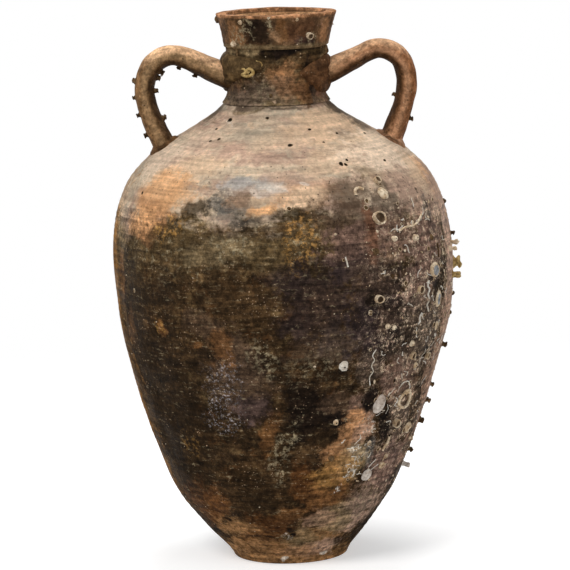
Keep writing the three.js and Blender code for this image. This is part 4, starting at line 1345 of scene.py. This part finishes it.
def growOnHandles():
    for index, (side, share, around, diameter, length) in enumerate(handleStalks):
        node = f"handle_stalk_{index + 1:02d}"
        shape, faces, faceTones = stalk(diameter, length, seed=index + 3)
        places = layOnHandle(shape, side, share, around)
        makePiece(f"grown_{node}", places, faces, [chalk["brown"]] * 2, [node], faceTones, 60)


def gather(name, shapes, materials):  # joins many small shapes that already lie on the jar
    places, faces, faceTones, start = [], [], [], 0
    for shapePlaces, shapeFaces, shapeTones in shapes:
        places.append(shapePlaces)
        faces += [tuple(index + start for index in face) for face in shapeFaces]
        faceTones += shapeTones
        start += len(shapePlaces)
    makePiece(name, np.concatenate(places), faces, materials, (), faceTones, 50)


# Finer traces between the larger growth: angle, height, sizes
traces = {
    "pits": [(133, 448, 4.6), (98, 450, 3), (67, 439, 2.6), (83, 427, 4), (58, 412, 2.6), (62, 409, 4),
             (60, 408, 3), (151, 381, 2.6), (138, 440, 2.4), (128, 432, 3), (133, 430, 2.4),
             (49, 434, 2.4), (38, 407, 2.6), (87, 36, 6), (140, 287, 2.2), (60, 176, 2.4), (44, 231, 3),
             (46, 193, 3), (63, 428, 2), (26, 430, 2.4), (26, 178, 3), (20.5, 195.5, 3), (250, 430, 3),
             (290, 415, 3.5), (320, 440, 2.6), (215, 410, 3)],
    "scars": [(59, 368, 5), (87, 372, 4.5), (61, 268, 4), (36, 255, 4), (28, 242, 5.5), (60, 230, 3.5),
              (33, 320, 5), (48, 325, 4), (59, 328, 3), (30, 135, 6), (70, 321, 3), (36, 187, 5),
              (24, 300, 5), (150, 286, 4), (60, 105, 4), (52, 131, 4.5), (49.4, 388, 4.5), (58, 374, 5),
              (61, 266, 4)],
    "threads": [(34, 280, 1.8, [(0, 9), (-2, 4), (1.5, 0), (-1, -5), (2, -9)]),
                (38, 253, 1.8, [(2, 5), (-1, 1), (0, -3), (-3, -6)]),
                (34, 262, 1.6, [(1, 6), (-2, 3), (0, -1), (2, -4)]),
                (58, 211, 1.0, [(1, 19), (-2, 13), (1, 8), (-1, 2), (2, -4), (-1, -10), (1, -19)]),
                (48, 345, 0.8, [(-9, -2), (-4, 0), (2, -1), (9, 2)]),
                (33, 352, 0.8, [(-6, -4), (-2, 0), (3, 4), (4, 8)]),
                (39, 180, 1.0, [(-9, 4), (-4, 9), (4, 9), (9, 3), (7, -5)]),
                (41, 172, 0.8, [(-6, 3), (-1, -1), (-4, -6), (2, -8)]),
                (69, 319, 1.6, [(-1, 5), (0, 0), (1, -5)]),
                (49, 100, 0.9, [(0, 4), (4, 8), (8, 12)]),
                (45, 102, 1.0, [(-8, -6), (-2, -1), (5, 3)])],
    "flapEdge": [(112, 498, 1.2, [(0, 7), (4.6, 5.4), (5.8, 2.6), (1.8, -0.6), (-3.1, -3.6), (-9.6, -6.6)],
                  1.4)],
    "ropes": [(140, 501, 2.2, [(-1, 17), (1, 10), (0, 2), (2, -6), (1, -13), (3, -19)]),
              (26.5, 316, 1.8, [(0, -7), (1, 0), (0, 7)])],
    "lumps": [(3, 356, 5, 2.5), (2, 262, 5, 2.5), (14, 511, 12, 3), (58, 326, 7, 2), (178, 543, 7, 2.4),
              (8, 245, 4, 2), (30, 330, 6, 2), (52, 300, 5, 1.5), (70, 120, 6, 1.6), (96, 470, 4, 1.2)],
    "ovals": [(26, 240, 6, 1.8, 1.5, 0), (27, 137, 11, 2.4, 1.1, 0), (35, 204, 6, 1.8, 1.2, 20),
              (51, 249, 5, 3, 1, 0), (39, 112, 5, 3, 1, 0), (70, 158, 6, 2.6, 1, 0),
              (56.5, 345, 2.8, 1.6, 1, 0), (46, 323, 2.6, 1.5, 1, 0), (127, 543, 4.6, 1.8, 1.2, 20),
              (70, 545, 3.6, 1.6, 1, 0), (97, 548, 3.4, 1.4, 1.3, 0), (72, 346, 2.6, 1.5, 1, 0),
              (80, 217.5, 2.6, 1.4, 1, 0), (52.5, 131, 4, 2, 1.4, -20)],
    # Thickets of stray threads: angle, height, how many, how far apart
    "scribbles": [(38, 205, 16, 24), (33, 272, 9, 16), (44, 168, 9, 15), (52, 130, 9, 18), (61, 118, 7, 13),
                  (30, 300, 5, 12), (37, 340, 6, 16), (26, 230, 6, 18)],
    "flankAngles": (-14, 66),
    "flankHeights": (60, 372),
    "crumbs": 380,
    "allOverCrumbs": 150,
    "strayThreads": 14,
    "strayScars": 30,
}


def traceShapes():
    chance = np.random.default_rng(65)
    lowAngle, highAngle = traces["flankAngles"]
    lowHeight, highHeight = traces["flankHeights"]

    def somewhere():
        angle = lowAngle + (highAngle - lowAngle) * chance.beta(2.0, 1.7)
        return angle, lowHeight + (highHeight - lowHeight) * chance.beta(1.5, 1.3)

    def laid(shape, angle, height):
        line = collarFace if height > collar["footHeight"] else wall
        return layOnJar(shape[0], line, angle, height), shape[1], shape[2]

    def listed(word, shape):
        rows = enumerate(traces[word])
        return [laid(shape(*size, seed=index), angle, height) for index, (angle, height, *size) in rows]

    pits = listed("pits", pit)
    scars = listed("scars", scar)
    threads = listed("threads", wormTube)
    crumbs = [laid(bead(diameter, rise, index, 0.25, stretch, turn), angle, height)
              for index, (angle, height, diameter, rise, stretch, turn) in enumerate(traces["ovals"])]
    crusts = listed("ropes", wormTube) + listed("lumps", bead)
    for index in range(traces["strayScars"]):
        scars.append(laid(scar(chance.uniform(2.2, 4.8), seed=index), *somewhere()))
    spots = [somewhere() for _ in range(traces["strayThreads"])]
    for angle, height, count, apart in traces["scribbles"]:
        for _ in range(count):
            spots.append((angle + chance.normal() * apart / 3, height + chance.normal() * apart * 0.6))
    for index, (angle, height) in enumerate(spots):
        way = chance.uniform(0, 2 * math.pi)
        spot = np.zeros(2)
        path = [tuple(spot)]
        for _ in range(int(chance.integers(3, 6))):
            way += chance.normal(0, 0.9)
            spot = spot + np.array([math.cos(way), math.sin(way)]) * chance.uniform(1.4, 3.2)
            path.append(tuple(spot))
        threads.append(laid(wormTube(chance.uniform(0.5, 1.0), path, seed=index), angle, height))
    for index in range(traces["crumbs"]):
        size = chance.uniform(0.6, 1.5) * chance.choice([1, 1, 1.6])
        crumb = bead(size, size * 0.4, index, 0.2, chance.uniform(0.6, 2.2), chance.uniform(0, 180))
        crumbs.append(laid(crumb, *somewhere()))
    for index in range(traces["allOverCrumbs"]):
        size = chance.uniform(0.6, 1.4)
        height = chance.uniform(20, 540)
        crumbs.append(laid(bead(size, size * 0.35, index), chance.uniform(0, 360), height))
    gather("boring_pits", pits, [chalk["brown"], chalk["hollow"]])
    gather("barnacle_scars", scars, [chalk["cream"], chalk["brown"]])
    gather("worm_threads", threads, [chalk["white"], chalk["hollow"]])
    gather("shell_crumbs", crumbs, [chalk["cream"], chalk["hollow"]])
    gather("flap_edge_lime", listed("flapEdge", wormTube), [chalk["yellow"], chalk["hollow"]])
    gather("crust_lumps", crusts, [chalk["brown"], chalk["brown"]])


growOnJar()
growOnHandles()
traceShapes()
print("Growth:", pieceCount, "pieces so far")


# Floor, light and camera
white = (1, 1, 1, 1)
studio = {
    "floorSize": 4,
    "floorDrop": -0.0004,  # just under the base, so that the two don't share a plane
    "floorTone": (0.86, 0.86, 0.86, 1),
    "floorLift": 0.4,  # lifts the seen floor to white, where no shadow falls
    "floorFade": (0.35, 1.3),  # from the seen floor to open white
    "worldLevel": 0.43,
    "lamps": [  # name, place, aim height, width, power
        ("key", (-1.5, -2.2, 2.7), 0.3, 1.6, 62),
        ("fill", (2.2, -2.0, 1.3), 0.3, 1.6, 16),
        ("over", (0.1, 0.5, 2.6), 0.3, 1.4, 30),
    ],
}


def makeFloor():
    half = studio["floorSize"] / 2
    corners = [(-half, -half), (half, -half), (half, half), (-half, half)]
    mesh = bpy.data.meshes.new("floor")
    mesh.from_pydata([(x, y, studio["floorDrop"]) for x, y in corners], [], [(0, 1, 2, 3)])
    recipe = Recipe("white floor")
    recipe.surface({"Base Color": studio["floorTone"], "Roughness": 0.95, "Specular IOR Level": 0})
    seen = recipe.add("ShaderNodeLightPath", {}, "Is Camera Ray")
    lift = recipe.add("ShaderNodeEmission", {"Strength": recipe.both(seen, studio["floorLift"])})
    lifted = recipe.add("ShaderNodeAddShader", {0: recipe.shader.outputs[0], 1: lift})
    clear = recipe.add("ShaderNodeBsdfTransparent", {})
    fade = recipe.ramp(recipe.length(recipe.place), *studio["floorFade"])
    blend = recipe.add("ShaderNodeMixShader", {0: fade, 1: lifted, 2: clear})
    recipe.feed(recipe.nodes["Material Output"].inputs["Surface"], blend)
    mesh.materials.append(recipe.material)
    floor = bpy.data.objects.new("floor", mesh)
    bpy.context.collection.objects.link(floor)


def makeWorld():
    world = bpy.data.worlds.new("studio")
    bpy.context.scene.world = world
    sky = NodeTree(world)
    sky.nodes.clear()
    rays = sky.nodes.new("ShaderNodeLightPath").outputs
    seen = sky.sum("MAXIMUM", rays["Is Camera Ray"], rays["Is Transmission Ray"])
    seen = sky.sum("MAXIMUM", seen, rays["Is Glossy Ray"])
    light = sky.add("ShaderNodeBackground", {"Color": white, "Strength": studio["worldLevel"]})
    backdrop = sky.add("ShaderNodeBackground", {"Color": white, "Strength": 1.0})
    pick = sky.add("ShaderNodeMixShader", {0: seen, 1: light, 2: backdrop})
    sky.feed(sky.nodes.new("ShaderNodeOutputWorld").inputs["Surface"], pick)


def makeLamps():
    for name, place, aimHeight, width, power in studio["lamps"]:
        lamp = bpy.data.lights.new(name, "AREA")
        lamp.shape = "DISK"
        lamp.size = width
        lamp.energy = power
        holder = bpy.data.objects.new(name, lamp)
        holder.location = place
        aim = Vector((0, 0, aimHeight)) - Vector(place)
        holder.rotation_euler = aim.to_track_quat("-Z", "Y").to_euler()
        bpy.context.collection.objects.link(holder)


view = {"distance": 3.3, "height": 0.78, "aimHeight": 0.274, "right": 0.002, "roll": -1.7, "lens": 209.3}


def makeCamera():
    lens = bpy.data.cameras.new("camera")
    lens.sensor_width = 36
    lens.lens = view["lens"]
    lens.clip_end = 50
    pitch = math.atan2(view["height"] - view["aimHeight"], view["distance"])
    roll = math.radians(view["roll"])
    ahead = Vector((0, math.cos(pitch), -math.sin(pitch)))
    right = Vector((1, 0, 0))
    up = right.cross(ahead)
    leanRight = right * math.cos(roll) + up * math.sin(roll)
    leanUp = up * math.cos(roll) - right * math.sin(roll)
    holder = bpy.data.objects.new("camera", lens)
    turn = Matrix((leanRight, leanUp, -ahead)).transposed().to_4x4()
    holder.matrix_world = Matrix.Translation((view["right"], -view["distance"], view["height"])) @ turn
    bpy.context.collection.objects.link(holder)
    bpy.context.scene.camera = holder


makeFloor()
makeWorld()
makeLamps()
makeCamera()
bpy.context.scene.view_settings.view_transform = "Standard"
print("Studio: floor, world, lamps and camera")
